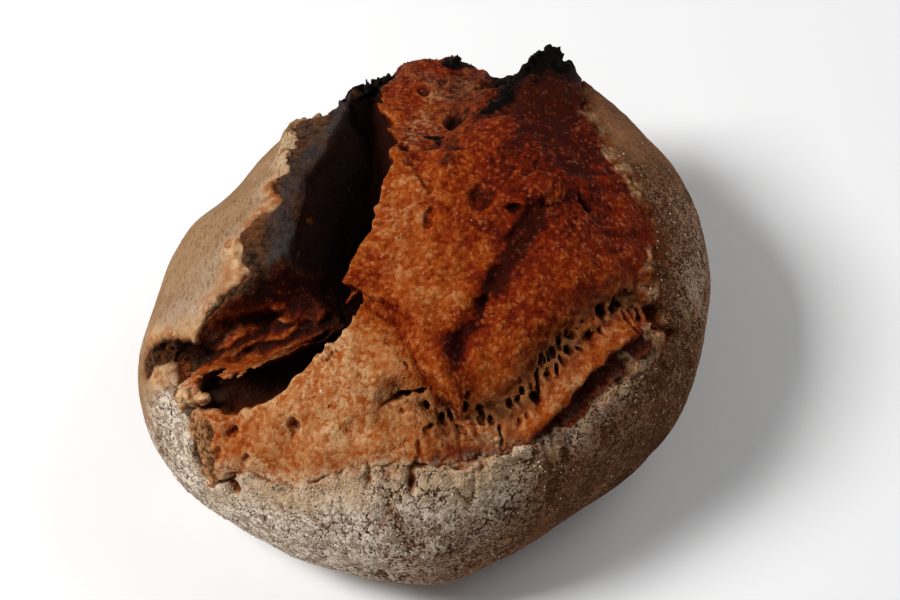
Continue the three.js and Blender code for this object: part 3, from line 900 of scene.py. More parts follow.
# Tones that the materials lay over the main colours
TONES = {
    name: srgb(code)
    for name, code in {
        "fleck_pale": "d4a06a",
        "fleck_roasted": "9c4a18",
        "pale_patch": "c49d70",
        "edge_dust": "b89a78",
        "lip_dark": "4f2f17",
        "lip_light": "a4744a",
        "web_dark": "331a0b",
        "web_light": "855530",
        "ash_dark": "1c120c",
        "ash_light": "553621",
        "rim_dark": "282322",
        "rim_light": "3f3835",
        "soot_raised": "18100b",
        "coat_dust": "a69480",
        "coat_speckle": "70502f",
        "coat_dash": "5e3d1e",
        "crest_dark": "6e4828",
        "crest_light": "b39877",
        "thin_flour": "90694b",
        "edge_flour": "b08f6b",
        "blush_dark": "9a643a",
        "blush_light": "b59067",
        "ember": "8a4a20",
        "rust": "8c4f26",
        "flake": "ccae88",
        "inner_dark": "3c1404",
        "inner_light": "7d411f",
        "scab_dark": "1a0c05",
        "scab_light": "532f17",
        "grain_dull": "a08468",
    }.items()
}


def size_property(name, description, millimetres):
    """A size that a user can set, with its default in millimetres."""
    return bpy.props.FloatProperty(
        name=name, description=description, default=millimetres * MM, min=0.0, precision=5, unit="LENGTH"
    )


def colour_property(name, description, code):
    """A colour that a user can set, with its default as a web colour code."""
    return bpy.props.FloatVectorProperty(
        name=name, description=description, default=srgb(code), size=4, min=0.0, max=1.0, subtype="COLOR"
    )


class RyeShape(bpy.types.PropertyGroup):
    """Sizes of the loaf's relief and of what is strewn over it."""

    flap_rise: size_property("Flap rise", "How far the torn flap stands off the plain crust", 6.0)
    lip_step: size_property("Lip step", "How far the torn crumb lies below the crust's edge", 2.4)
    dome_rise: size_property("Dome rise", "Height of the swollen inner dome", 5.3)
    peak_rise: size_property("Peak rise", "Height of the scorched peak", 8.5)
    crumb_grain: size_property("Loose crumb", "Size of the largest loose crumbs", 1.3)
    flour_grain: size_property("Loose flour", "Size of the largest grains of flour", 0.9)
    crust_step: size_property("Crust grid", "Spacing of the grid that the crust is read on", 0.8)
    burst_step: size_property("Crumb grid", "Spacing of the grid that the torn crumb is read on", 0.62)


class RyeColours(bpy.types.PropertyGroup):
    """Colours of the loaf's crumb, crust, flour and soot, and of the painted shade in its cuts."""

    crumb_pale: colour_property("Pale crumb", "Torn crumb where it browned least", "c9a27a")
    crumb_golden: colour_property("Golden crumb", "Torn crumb that took a little colour", "ac7647")
    crumb_orange: colour_property("Orange crumb", "Torn crumb that browned evenly", "91410d")
    crumb_roasted: colour_property("Roasted crumb", "Torn crumb that is well roasted", "6b1a00")
    crumb_burnt: colour_property("Burnt crumb", "Torn crumb just short of scorched", "330700")
    # Painted shade: the dark brown laid in the cleft, the slot, the pores and the hollow
    painted_hollow_shade: colour_property("Hollow brown", "Walls of the cleft, the slot and the pores", "1d0802")
    curd_light: colour_property("Curd light", "Raised side of the curds of dough", "d2ac80")
    curd_shade: colour_property("Curd shade", "Low side of the curds of dough", "82552f")
    crust_light: colour_property("Light crust", "Bare crust where it browned least", "936341")
    crust_brown: colour_property("Brown crust", "Bare crust between the flour", "4a2814")
    crust_dark: colour_property("Dark crust", "Bare crust where it browned most", "2a1307")
    coat_light: colour_property("Light coat", "Lighter tone of the smooth tan coat", "99795a")
    coat_brown: colour_property("Brown coat", "Darker tone of the smooth tan coat", "8d6b4a")
    flour_white: colour_property("Flour", "Thick flour on the crust", "dccbb8")
    flour_shade: colour_property("Flour shade", "Flour pressed into the crust", "94806c")
    soot: colour_property("Soot", "Scorched crumb and crust", "050100")


# ----------------------------------------------------------------------------------------------
# Masks that the materials read, one number a vertex

# Where the torn crumb is more or less roasted: place on the map, reach along U and V, amount
ROAST_SPOTS = [
    ((60, 14), (34, 60), 0.30), ((48, 66), (24, 30), 0.30), ((47, 84), (15, 17), 0.35),
    ((4, 92), (44, 24), 0.26), ((-8, 46), (12, 22), 0.18), ((-14, 4), (18, 34), -0.08),
    ((-30, -68), (26, 18), -0.05), ((11, -67), (8, 8), 0.30),
]

# Patches of soot on the torn crumb: place on the map, reach along U and V, amount
SOOT_SPOTS = [
    ((2, 50), (7, 3), 0.8), ((8, 46), (6, 3), 0.8), ((8, 21), (4, 3.5), 0.6), ((10, 36), (4, 8), 0.5),
    ((34, 28), (6, 6), 0.5), ((28, 56), (8, 4), 0.4), ((36, -6), (5, 2.5), 0.35),
    ((3, 38), (5, 4), 0.75), ((10, 29), (6, 2.6), 0.6),
]

# Share of the crust that flour covers, at rising angles round the loaf
FLOUR_ANGLES = [0, 15, 30, 50, 70, 100, 190, 205, 245, 265, 285, 300, 330, 350, 360]
LOWER_ANGLES = [0, 30, 60, 100, 245, 270, 290, 360]
LOWER_SHARES = [0.5, 0.3, 0.0, 0.0, 0.1, 0.5, 1.1, 0.5]
FLOUR_SHARES = [0.36, 0.34, 0.08, -0.15, -0.1, 0.0, 0.66, 0.78, 0.84, 0.77, 0.58, 0.26, 0.10, 0.24, 0.36]


def convexity(mesh):
    """How far each vertex stands out from its neighbours: 0.5 is flat, more is a bump."""
    points = coordinates(mesh)
    count = len(mesh.vertices)
    edges = np.empty(2 * len(mesh.edges), dtype=np.int32)
    mesh.edges.foreach_get("vertices", edges)
    edges = edges.reshape(-1, 2)
    normals = np.empty(3 * count, dtype=np.float32)
    mesh.vertex_normals.foreach_get("vector", normals)
    normals = normals.reshape(-1, 3)
    gap = points[edges[:, 1]] - points[edges[:, 0]]
    length = np.maximum(np.linalg.norm(gap, axis=1), 1e-4)
    slope = [np.einsum("ij,ij->i", gap, normals[edges[:, i]]) / length for i in (0, 1)]
    total = np.bincount(edges[:, 0], -slope[0], count) + np.bincount(edges[:, 1], slope[1], count)
    number = np.bincount(edges.ravel(), minlength=count)
    bump = total / np.maximum(number, 1)
    spread = bump.copy()
    for _ in range(2):
        near = np.bincount(edges[:, 0], spread[edges[:, 1]], count)
        near += np.bincount(edges[:, 1], spread[edges[:, 0]], count)
        spread = 0.5 * spread + 0.5 * near / np.maximum(number, 1)
    return 0.5 + 0.35 * bump + 0.9 * spread


def spot(places, middle, reach):
    """1 at a place on the map, fading out over an oval."""
    return np.exp(-oval_square(places.u, places.v, middle, reach))


def in_cuts(places, chart, void):
    """Share of painted shade: 1 on the walls and floors of the cleft, the slot, the slit and the deeper
    pores.
    """
    u, v = places.u, places.v
    share = np.zeros(len(u), dtype=np.float32)
    for cut in (chart.cleft, chart.slot):
        across = on_map(cut.across, u, v)
        inner = on_map(cut.flap_side, u, v) + across
        inner = np.minimum(inner, on_map(cut.dome_side, u, v) - across)
        share = np.maximum(share, smooth(-3.5, -0.5, inner) * smooth(0.8, 3.2, void))
    inner = on_map(chart.slit.dome_side, u, v) - np.abs(on_map(chart.slit.across, u, v))
    share = np.maximum(share, smooth(-3, 0, inner) * smooth(1.0, 2.6, void))
    porous = bell(on_map(chart.pores, u, v), 9)
    deeper = (0.9 - 0.22 * porous) * smooth(2.7, 4.6, void + porous)
    return np.maximum(share, deeper * (1 - on_map(chart.in_hollow, u, v)))


def paint_burst(mesh, chart):
    """Masks of the torn crumb: how roasted, scorched, ashen and raised it is, and where painted light and
    shade fall.
    """
    points = coordinates(mesh)
    places = Places(points)
    u, v, depth = places.u, places.v, places.depth
    tear = on_map(chart.tear, u, v)
    wander = GRAIN.layers(points, (24, 9, 4), (0.5, 0.4, 0.25), 40.0)
    to_rim = -on_map(chart.cleft.across, u, v) - on_map(chart.cleft.flap_side, u, v)
    hollow = on_map(chart.in_hollow, u, v)
    ashen = on_map(chart.ashen, u, v)
    band = ashen * smooth(3, 0, tear) * smooth(-4, 0, to_rim) * (1 - hollow)
    void = on_map(chart.burst_rise, u, v) + depth

    # This mask holds the crumb's roasting and painted light and shade together
    roast_and_painted_light = 0.50 + 0.12 * wander
    for middle, reach, amount in ROAST_SPOTS:
        roast_and_painted_light += amount * spot(places, middle, reach)
    roast_and_painted_light -= (0.21 + 0.06 * wander) * spot(places, (-50, -84), (54, 28))
    # Painted shade: darker along the crease and along the split between the near lobe and the dome
    roast_and_painted_light += 0.40 * bell(on_map(chart.crease, u, v), 5.5) * smooth(-1.0, 0.3, wander)
    roast_and_painted_light += 0.20 * bell(on_map(chart.lobe, u, v) - 3, 5)
    ridge = bell(on_map(chart.ridge, u, v), 4.0)
    roast_and_painted_light -= 0.18 * ridge
    to_blister = oval_share(u, v, BLISTER_MIDDLE, BLISTER_REACH)
    # Painted highlight: a light rim along one side of the blister, and the blister lighter on that side
    roast_and_painted_light -= 0.30 * bell(to_blister - 0.98, 0.06) * smooth(10, -2, v - 8 - (u - 49))
    roast_and_painted_light -= 0.13 * smooth(1.0, 0.88, to_blister) * smooth(7, -5, v - 8 - 0.5 * (u - 49))
    beside = on_map(chart.groove, u, v)
    groove = bell(beside, 3.0) * smooth(4, 1, tear)
    roast_and_painted_light += 0.45 * groove + 0.22 * bell(beside, 9.0) * smooth(-8, -3, tear)
    low_groove = spot(places, (21, -100.5), (19, 2.0))
    roast_and_painted_light += 0.45 * low_groove
    at = strayed(points, u, v)
    lit = on_map(chart.leaf_lit, *at)
    shade = on_map(chart.leaf_shade, *at)
    west = smooth(-46, -66, u)
    # Painted shade: the hollow darker, with painted highlights on the leaves' lit lips towards its west end
    roast_and_painted_light += hollow * (0.34 - 0.28 * lit * west)
    # Painted shade: darker where the crumb lies below the map's rise, in pits, pores and cuts
    roast_and_painted_light += 0.10 * smooth(0.5, 3.5, void)
    roast_and_painted_light -= 0.30 * spot(places, (-7, 76), (14, 16)) * smooth(-0.5, 0.4, wander)
    paint(mesh, "roast_and_painted_light", roast_and_painted_light)

    bump = convexity(mesh)
    # Painted shade over the hollow: lighter towards its west end, on the leaves' lit lips and on the folds
    # by its torn edge, darker in front of the leaves' lips; more painted shade in the pits at its west end
    # and along the groove
    fold = smooth(-10, -3, tear) * smooth(-56, -48, v) * smooth(-10, -26, v)
    gloom = 0.97 - 0.26 * west - 0.52 * lit * (0.3 + 0.7 * west) + 0.5 * shade - 0.45 * fold
    shaded = hollow * np.clip(gloom, 0, 1)
    shaded = np.maximum(shaded, 0.9 * smooth(0.4, 0.7, spot(places, (-90, -52), (8, 8)) + 0.15 * wander))
    shaded = np.maximum(shaded, 0.3 * groove)
    # Painted shade: this mask lays a dark brown over the cuts, the deeper pores, the hollow and the groove
    paint(mesh, "deep_shade", np.maximum(in_cuts(places, chart, void), shaded))
    lumpy = smooth(1.1, 0.1, lump_distance(points))
    paint(mesh, "cream", np.maximum(lumpy, 0.6 * pale_spots(u, v, points)))
    front = smooth(1.0, 0.4, ashen) * smooth(-40, -60, v)
    dusty = smooth(-6, -0.5, tear + 2.5 * wander) * front * (1 - groove) * (1 - 0.9 * bell(beside, 12.0))
    lip = smooth(0.3, 0.65, spot(places, (-88, -85), (5.5, 15)) + 0.2 * wander)
    paint(mesh, "dusty", np.maximum(dusty, 0.0) * (1 - lip))
    paint(mesh, "lip", lip)
    pale = smooth(0.1, 0.9, GRAIN.layers(points, (9, 4), (0.8, 0.5), 46.0)) * smooth(0.55, 0.3, roast_and_painted_light)
    worn = spot(places, (-2, 74), (9, 15)) + 0.8 * spot(places, (-9, 50), (5, 12))
    worn = worn + 0.5 * spot(places, (20, 90), (8, 8))
    pale = np.maximum(pale, worn * smooth(-0.2, 0.5, GRAIN.layers(points, (10, 4.5), (0.8, 0.5), 47.0)))
    paint(mesh, "pale", pale)
    paint(mesh, "ash", band * (1 + 0.2 * wander))
    dull = 0.95 * bell(on_map(chart.pores, u, v), 7.0) * smooth(-1.0, 0.1, wander)
    dull = dull * (1 - ridge) * (1 - groove)
    dull = np.maximum(dull, 0.40 * spot(places, (-2, 84), (36, 32)) * smooth(-0.8, 0.6, wander))
    paint(mesh, "dull", dull)

    left = on_map(chart.left_of_char, u, v)
    char = bell(left + 1.0 + 2 * wander, 4.5) * smooth(50, 60, v) * smooth(12, 22, u)
    from_peak = np.hypot(u - 43, (v - 92) * np.where(v > 92, 2.0, 1.0))
    char = np.maximum(char, smooth(30, 6, from_peak + 5 * wander))
    rim = smooth(-0.6, 0.4, to_rim) * smooth(8.0, 5.0, to_rim + 1.5 * wander)
    rim = rim * ashen * (1 - hollow) * smooth(-34, -22, v)
    from_end = np.hypot(u + 29, 0.8 * (v - 96))
    char = np.maximum(char, smooth(10, 5, from_end + 3 * wander) * smooth(5, 1, void))
    far_edge = smooth(12, 8, np.abs(u + 34)) * smooth(70, 76, v) * smooth(-3, 0, tear)
    char = np.maximum(char, far_edge)
    char = np.maximum(char, smooth(6.5, 3, np.hypot(0.8 * (u - 12), 1.6 * (v - 102.5)) + 2 * wander))
    char = np.maximum(char, smooth(5, 2, np.hypot(u + 20, v - 101.5) + 2 * wander))
    for middle, reach, amount in SOOT_SPOTS:
        char = np.maximum(char, amount * smooth(0.35, 0.6, spot(places, middle, reach) + 0.2 * wander))
    paint(mesh, "char", char)
    paint(mesh, "blue", rim * (0.8 + 0.3 * wander))
    paint(mesh, "raised", bump)


def paint_crust(mesh, chart):
    """Masks of the floured crust: coat, flour cover, browning, torn edge, scab and raised parts."""
    points = coordinates(mesh)
    places = Places(points)
    u, v = places.u, places.v
    wander = GRAIN.layers(points, (34, 15, 6), (0.6, 0.4, 0.3), 50.0)
    angle = (np.degrees(np.arctan2(v, u)) + 6 * wander) % 360
    edge = torn_edge(places, chart, True)
    below = places.depth + on_map(chart.crust_rise, u, v)
    coat = smooth(86, 116, angle) * smooth(213, 205, angle)
    paint(mesh, "coat", coat)
    right = on_map(chart.right, u, v)
    flour = np.interp(angle, FLOUR_ANGLES, FLOUR_SHARES) + 0.16 * wander
    flour += 0.3 * bell(edge, 9) * (1 - right) - 0.25 * bell(edge, 7) * right
    flour -= 0.55 * crust_furrows(places, edge)
    front = smooth(222, 240, angle) * smooth(304, 285, angle)
    lower = smooth(62, 24, points[:, 2] + 7 * wander)
    flour -= 0.42 * lower * np.interp(angle, LOWER_ANGLES, LOWER_SHARES)
    paint(mesh, "flour", flour)
    upper_right = smooth(15, 35, angle) * smooth(128, 108, angle)
    paint(mesh, "browned", 0.5 + 0.2 * wander - 0.4 * upper_right)
    ragged = edge + 2.2 * GRAIN.layers(points, (9, 4), (0.7, 0.5), 90.0)
    reach = 9 + 4 * smooth(0, -30, v)
    tawny = smooth(reach, 0.15 * reach, edge + 4 * wander) * smooth(26, 14, v)
    tawny = tawny * smooth(-64, -54, v) * smooth(0, -20, u)
    paint(mesh, "tawny", tawny)
    ember = smooth(6.5, 1.5, edge + 3 * wander) * smooth(22, 12, v) * smooth(-10, 2, v)
    paint(mesh, "ember", ember * smooth(0, -20, u))
    tan_rim = 0.85 * front * smooth(15, 3, edge + 4 * wander)
    torn = np.maximum(tan_rim, 0.4 + 0.6 * coat)
    torn = torn * smooth(1.8, 0.2, ragged - 3.5 * coat * smooth(24, 0, v))
    paint(mesh, "torn", np.maximum(torn, smooth(0.8, 2.0, below)))
    paint(mesh, "cream", (0.6 - 0.2 * right) * pale_spots(u, v, points))
    # Painted highlight along the flap's crest, laid over its pale streaked crust
    paint(mesh, "crest", coat * smooth(12, 3, edge + 2 * wander) * smooth(6, 14, v) * smooth(60, 50, v))
    paint(mesh, "roasted", right * smooth(9, 1, ragged))
    paint(mesh, "wall", smooth(1.5, 3.0, below))
    paint(mesh, "warm", 0.75 * front * smooth(15, 3, edge + 5 * wander))
    scab = spot(places, (-108, -46), (7, 6)) + spot(places, (-97, -47), (6, 5))
    paint(mesh, "scab", smooth(0.3, 0.6, scab + 0.3 * wander))
    char = smooth(13, 3, np.hypot(u - 46, v - 92) + 4 * wander)
    behind = smooth(9, 4, np.abs(edge) + wander) * smooth(-46, -41, u) * smooth(2, -8, u)
    paint(mesh, "char", np.maximum(char, behind * smooth(60, 70, v)))
    paint(mesh, "raised", convexity(mesh))


# ----------------------------------------------------------------------------------------------
# Materials

def per_mm(wavelength):
    """Texture scale in metres for a wavelength in millimetres."""
    return 1.0 / (wavelength * MM)


class Nodes:
    """Adds and links nodes in one tree, with plain values or other nodes' outputs as inputs."""

    def __init__(self, tree):
        self.tree = tree

    def add(self, kind, inputs=(), **settings):
        node = self.tree.nodes.new("ShaderNode" + kind)
        for name, value in settings.items():
            setattr(node, name, value)
        self.fill(node, inputs)
        return node

    def fill(self, node, inputs):
        """Feeds a node's inputs, each by its name or number."""
        for name, value in dict(inputs).items():
            self.feed(node.inputs[name], value)

    def feed(self, socket, value):
        if isinstance(value, bpy.types.NodeSocket):
            self.tree.links.new(value, socket)
        elif value is not None:
            socket.default_value = value

    def math(self, operation, a, b):
        return self.add("Math", {0: a, 1: b}, operation=operation).outputs[0]

    def remap(self, value, low, high, to_low=0.0, to_high=1.0):
        node = self.add(
            "MapRange",
            {"Value": value, "From Min": low, "From Max": high, "To Min": to_low, "To Max": to_high},
            interpolation_type="SMOOTHSTEP",
        )
        return node.outputs["Result"]

    def sum(self, *terms):
        """The sum of value times weight over all terms."""
        total = None
        for value, weight in terms:
            if isinstance(value, bpy.types.NodeSocket):
                value = self.math("MULTIPLY", value, weight)
            else:
                value = value * weight
            total = value if total is None else self.math("ADD", total, value)
        return total

    def mix_float(self, share, a, b):
        node = self.add("Mix", data_type="FLOAT")
        self.feed(node.inputs[0], share)
        self.feed(node.inputs[2], a)
        self.feed(node.inputs[3], b)
        return node.outputs[0]

    def offset(self, vector, colour, reach):
        """The vector moved by up to half the reach each way, as the colour says."""
        away = self.add("VectorMath", {0: colour, 1: (0.5, 0.5, 0.5)}, operation="SUBTRACT").outputs[0]
        away = self.add("VectorMath", {0: away, 3: reach}, operation="SCALE").outputs[0]
        return self.add("VectorMath", {0: vector, 1: away}, operation="ADD").outputs[0]

    def mix(self, share, a, b):
        node = self.add("Mix", data_type="RGBA")
        self.feed(node.inputs[0], share)
        self.feed(node.inputs[6], a)
        self.feed(node.inputs[7], b)
        return node.outputs[2]

    def lay(self, colour, tone, share, strength):
        """The colour with a tone over it, by the share times the strength."""
        return self.mix(self.math("MULTIPLY", share, strength), colour, tone)

    def two_tone(self, value, low, high, name):
        """From the dark to the light of two named tones as the value rises."""
        return self.mix(self.remap(value, low, high), TONES[name + "_dark"], TONES[name + "_light"])

    def ramp(self, share, stops):
        node = self.add("ValToRGB", {"Fac": share})
        ramp = node.color_ramp
        stops = list(stops)
        while len(ramp.elements) < len(stops):
            ramp.elements.new(0.5)
        for element, (place, colour) in zip(ramp.elements, stops):
            element.position = place
            element.color = colour
        return node.outputs["Color"]

    def noise(self, vector, wavelength, detail, roughness):
        settings = {"Vector": vector, "Scale": per_mm(wavelength), "Detail": detail, "Roughness": roughness}
        return self.add("TexNoise", settings).outputs["Fac"]

    def patches(self, vector, wavelength, low, high, detail=4.0, roughness=0.7):
        """Noise drawn apart into patches, 0 below low and 1 above high."""
        return self.remap(self.noise(vector, wavelength, detail, roughness), low, high)

    def swirl(self, vector, wavelength, detail):
        """Noise with three parts, to bend a vector by."""
        settings = {"Vector": vector, "Scale": per_mm(wavelength), "Detail": detail}
        return self.add("TexNoise", settings).outputs["Color"]

    def stretched(self, vector, factors):
        return self.add("VectorMath", {0: vector, 1: factors}, operation="MULTIPLY").outputs[0]

    def voronoi(self, vector, wavelength, feature="F1"):
        settings = {"Vector": vector, "Scale": per_mm(wavelength)}
        return self.add("TexVoronoi", settings, feature=feature).outputs

    def cell_value(self, cells):
        """One random number a cell."""
        return self.add("SeparateColor", {0: cells["Color"]}).outputs[0]

    def read(self, name):
        return self.add("Attribute", attribute_name=name).outputs["Fac"]


def shader_group(name, inputs, outputs, build):
    """A shader node group, built once; an input is a number, a colour or, if None, a vector."""
    if name in bpy.data.node_groups:
        return bpy.data.node_groups[name]
    group = bpy.data.node_groups.new(name, "ShaderNodeTree")
    for label, default in inputs.items():
        kind = "NodeSocketColor" if isinstance(default, tuple) and len(default) == 4 else "NodeSocketFloat"
        if default is None:
            kind = "NodeSocketVector"
        socket = group.interface.new_socket(label, in_out="INPUT", socket_type=kind)
        if default is not None:
            socket.default_value = default
    for label, kind in outputs.items():
        group.interface.new_socket(label, in_out="OUTPUT", socket_type=kind)
    start = group.nodes.new("NodeGroupInput")
    end = group.nodes.new("NodeGroupOutput")
    results = build(Nodes(group), start.outputs)
    for label, value in results.items():
        group.links.new(value, end.inputs[label])
    return group


def grain_group():
    """Baked granules: mottling, pale flecks, glints and a height for bump."""

    def build(nodes, inputs):
        vector = inputs["Vector"]
        coarse = nodes.noise(vector, 6.0, 3.0, 0.6)
        fine = nodes.noise(vector, 1.6, 3.0, 0.65)
        bent = nodes.offset(vector, nodes.swirl(vector, 2.2, 1.0), 0.0014)
        cells = nodes.voronoi(bent, 1.5)
        small = nodes.voronoi(bent, 0.75)
        tone = nodes.cell_value(cells)
        small_tone = nodes.cell_value(small)
        mottle = nodes.sum((coarse, 0.35), (fine, 0.35), (tone, 0.2), (small_tone, 0.1))
        lucky = nodes.math("GREATER_THAN", tone, 0.74)
        flecks = nodes.math("MULTIPLY", lucky, nodes.remap(cells["Distance"], 0.55, 0.2))
        glints = nodes.math("MULTIPLY", nodes.math("GREATER_THAN", small_tone, 0.9), lucky)
        height = nodes.sum((fine, 0.5), (cells["Distance"], -0.45), (small["Distance"], -0.2))
        return {"Mottle": mottle, "Flecks": flecks, "Glints": glints, "Height": height}

    outputs = {name: "NodeSocketFloat" for name in ("Mottle", "Flecks", "Glints", "Height")}
    return shader_group("baked_grain", {"Vector": None}, outputs, build)


def flour_group():
    """Dusted flour: cover by grains and patches, split by fine cracks, and a height for bump."""

    def build(nodes, inputs):
        vector = inputs["Vector"]
        bend = nodes.swirl(vector, 3.2, 3.0)
        bent = nodes.offset(vector, bend, 0.0042)
        wide = nodes.voronoi(bent, 4.6, "DISTANCE_TO_EDGE")["Distance"]
        narrow = nodes.voronoi(bent, 1.9, "DISTANCE_TO_EDGE")["Distance"]
        where = nodes.patches(vector, 14.0, 0.5, 0.62, 2.0, 0.5)
        elsewhere = nodes.math("SUBTRACT", 1.0, where)
        cracks = nodes.math("MULTIPLY", nodes.remap(wide, 0.16, 0.0), where)
        fine_cracks = nodes.math("MULTIPLY", nodes.remap(narrow, 0.14, 0.0), elsewhere)
        patches = nodes.noise(vector, 8.0, 3.0, 0.6)
        clumps = nodes.noise(bent, 1.8, 3.0, 0.7)
        grains = nodes.noise(vector, 0.62, 2.0, 0.7)
        cells = nodes.voronoi(nodes.offset(vector, bend, 0.0016), 0.95)
        cover = nodes.sum(
            (inputs["Amount"], 0.8), (patches, 1.1), (clumps, 1.5), (grains, 2.6),
            (nodes.cell_value(cells), 0.42), (cells["Distance"], -0.35), (cracks, -0.5),
            (fine_cracks, -0.3), (-2.36, 1.0),
        )
        cover = nodes.remap(cover, 0.37, 0.48)
        height = nodes.sum(
            (cover, 0.55), (clumps, 0.3), (grains, 0.3), (cells["Distance"], -0.3), (cracks, -0.6)
        )
        return {"Cover": cover, "Height": height}

    outputs = {name: "NodeSocketFloat" for name in ("Cover", "Height")}
    return shader_group("dusted_flour", {"Vector": None, "Amount": 0.5}, outputs, build)


def soot_group():
    """Scorching: mixes a colour towards black, ashen grey on what stands out."""

    def build(nodes, inputs):
        raised = nodes.remap(inputs["Raised"], 0.5, 0.8)
        soot = nodes.mix(raised, inputs["Soot"], TONES["soot_raised"])
        patchy = nodes.noise(inputs["Vector"], 2.4, 4.0, 0.7)
        share = nodes.remap(nodes.sum((inputs["Amount"], 1.0), (patchy, 0.7)), 0.5, 1.2)
        return {"Color": nodes.mix(share, inputs["Color"], soot)}

    black = (0.0, 0.0, 0.0, 1.0)
    inputs = {"Vector": None, "Color": black, "Soot": black, "Amount": 0.0, "Raised": 0.5}
    return shader_group("soot", inputs, {"Color": "NodeSocketColor"}, build)


def new_material(name):
    """A material with one Principled BSDF, and its tree's node helper, coordinates and shader."""
    material = bpy.data.materials.new(name)
    material.use_nodes = True
    nodes = Nodes(material.node_tree)
    place = nodes.add("TexCoord").outputs["Object"]
    return material, nodes, place, material.node_tree.nodes["Principled BSDF"]


def use_group(nodes, group, **inputs):
    """Places a node group and feeds its inputs."""
    node = nodes.tree.nodes.new("ShaderNodeGroup")
    node.node_tree = group
    nodes.fill(node, inputs)
    return node.outputs


def scorched(nodes, place, colour, colours, char, raised):
    """The colour with soot over it where the mask says."""
    soot = use_group(
        nodes, soot_group(), Vector=place, Color=colour, Soot=colours.soot, Amount=char, Raised=raised
    )
    return soot["Color"]


# Where along the browning each of the crumb's and the crust's colours lies
CRUMB_STOPS = (0.0, 0.2, 0.45, 0.68, 0.9)
CRUST_STOPS = (0.0, 0.5, 1.0)
CRUMB_MASKS = ("roast_and_painted_light", "deep_shade", "ash", "dull", "cream", "dusty", "lip", "pale", "char", "blue", "raised")
CRUST_MASKS = (
    "coat", "flour", "browned", "torn", "tawny", "ember", "crest", "roasted", "wall", "warm", "scab",
    "cream", "char", "raised",
)
CRUMB_BUMP = 0.0007
CRUST_BUMP = 0.0009


def crumb_material(colours):
    """Torn crumb: pale to deeply roasted, ashen on the flap's face, scorched at the rims, with painted
    light and shade.
    """
    material, nodes, place, shader = new_material("torn_crumb")
    roast_and_painted_light, deep_shade, ash, dull, cream, dusty, lip, pale, char, blue, raised = map(nodes.read, CRUMB_MASKS)
    grain = use_group(nodes, grain_group(), Vector=place)
    mottle = grain["Mottle"]
    # Painted shade: hollows darker and raised parts lighter, by the convexity
    share = nodes.sum(
        (roast_and_painted_light, 1.0), (nodes.remap(mottle, 0.3, 0.7), -0.24), (0.12, 1.0),
        (nodes.remap(raised, 0.38, 0.66), -0.18), (0.09, 1.0),
    )
    browning = (
        colours.crumb_pale, colours.crumb_golden, colours.crumb_orange, colours.crumb_roasted,
        colours.crumb_burnt,
    )
    colour = nodes.ramp(share, zip(CRUMB_STOPS, browning))
    fleck = nodes.mix(roast_and_painted_light, TONES["fleck_pale"], TONES["fleck_roasted"])
    colour = nodes.lay(colour, fleck, grain["Flecks"], 0.24)
    patch = nodes.math("MULTIPLY", pale, nodes.remap(mottle, 0.42, 0.6))
    colour = nodes.lay(colour, TONES["pale_patch"], patch, 0.5)
    dust = nodes.math("MULTIPLY", dusty, nodes.patches(place, 1.9, 0.42, 0.58))
    colour = nodes.mix(dust, colour, TONES["edge_dust"])
    colour = nodes.mix(lip, colour, nodes.two_tone(mottle, 0.40, 0.60, "lip"))
    # Painted shade in the pore band: its tone darkens from the raised webs into the pores' hollows
    colour = nodes.mix(dull, colour, nodes.two_tone(raised, 0.4, 0.65, "web"))
    streaks = nodes.two_tone(nodes.noise(place, 3.0, 4.0, 0.7), 0.35, 0.65, "ash")
    colour = nodes.mix(ash, colour, streaks)
    grey = nodes.two_tone(nodes.noise(place, 2.6, 4.0, 0.6), 0.3, 0.7, "rim")
    colour = nodes.lay(colour, grey, blue, 0.9)
    # Painted shade laid over the cuts, the deeper pores, the hollow and the groove
    colour = nodes.lay(colour, colours.painted_hollow_shade, deep_shade, 0.96)
    curd = nodes.mix(nodes.remap(mottle, 0.34, 0.58), colours.curd_shade, colours.curd_light)
    colour = nodes.lay(colour, curd, cream, 0.9)
    dull_parts = nodes.math("MAXIMUM", nodes.math("MAXIMUM", deep_shade, ash), char)
    glints = nodes.math("MULTIPLY", grain["Glints"], nodes.remap(dull_parts, 0.3, 0.0))
    bump = nodes.add("Bump", {"Strength": 1.0, "Distance": CRUMB_BUMP, "Height": grain["Height"]})
    settings = {
        "Base Color": scorched(nodes, place, colour, colours, char, raised),
        "Roughness": 0.75,
        "Specular IOR Level": 0.06,
        "Coat Weight": nodes.math("MULTIPLY", glints, 0.45),
        "Coat Roughness": 0.35,
        "Normal": bump.outputs["Normal"],
    }
    nodes.fill(shader, settings)
    return material


def tan_coat(nodes, place, colours, amount, crest, shade):
    """The smooth tan coat: floury in places, speckled and dashed, with a streaked crest that is pale partly
    by a painted highlight.
    """
    tan = nodes.mix(nodes.remap(shade, 0.35, 0.65), colours.coat_brown, colours.coat_light)
    dusting = nodes.remap(nodes.sum((amount, 1.0), (shade, 0.4)), 0.86, 1.2, 0.0, 0.55)
    tan = nodes.mix(dusting, tan, TONES["coat_dust"])
    speckle = nodes.patches(place, 0.9, 0.42, 0.72, 4.0, 0.8)
    tan = nodes.lay(tan, TONES["coat_speckle"], speckle, 0.8)
    dashes = nodes.patches(nodes.stretched(place, (1.0, 0.3, 1.0)), 0.9, 0.53, 0.63, 3.0, 0.7)
    tan = nodes.lay(tan, TONES["coat_dash"], dashes, 0.7)
    lined = nodes.stretched(place, (1.5, 0.22, 1.5))
    streaked = nodes.two_tone(nodes.noise(lined, 1.3, 3.0, 0.6), 0.38, 0.48, "crest")
    return nodes.lay(tan, streaked, crest, 0.85)


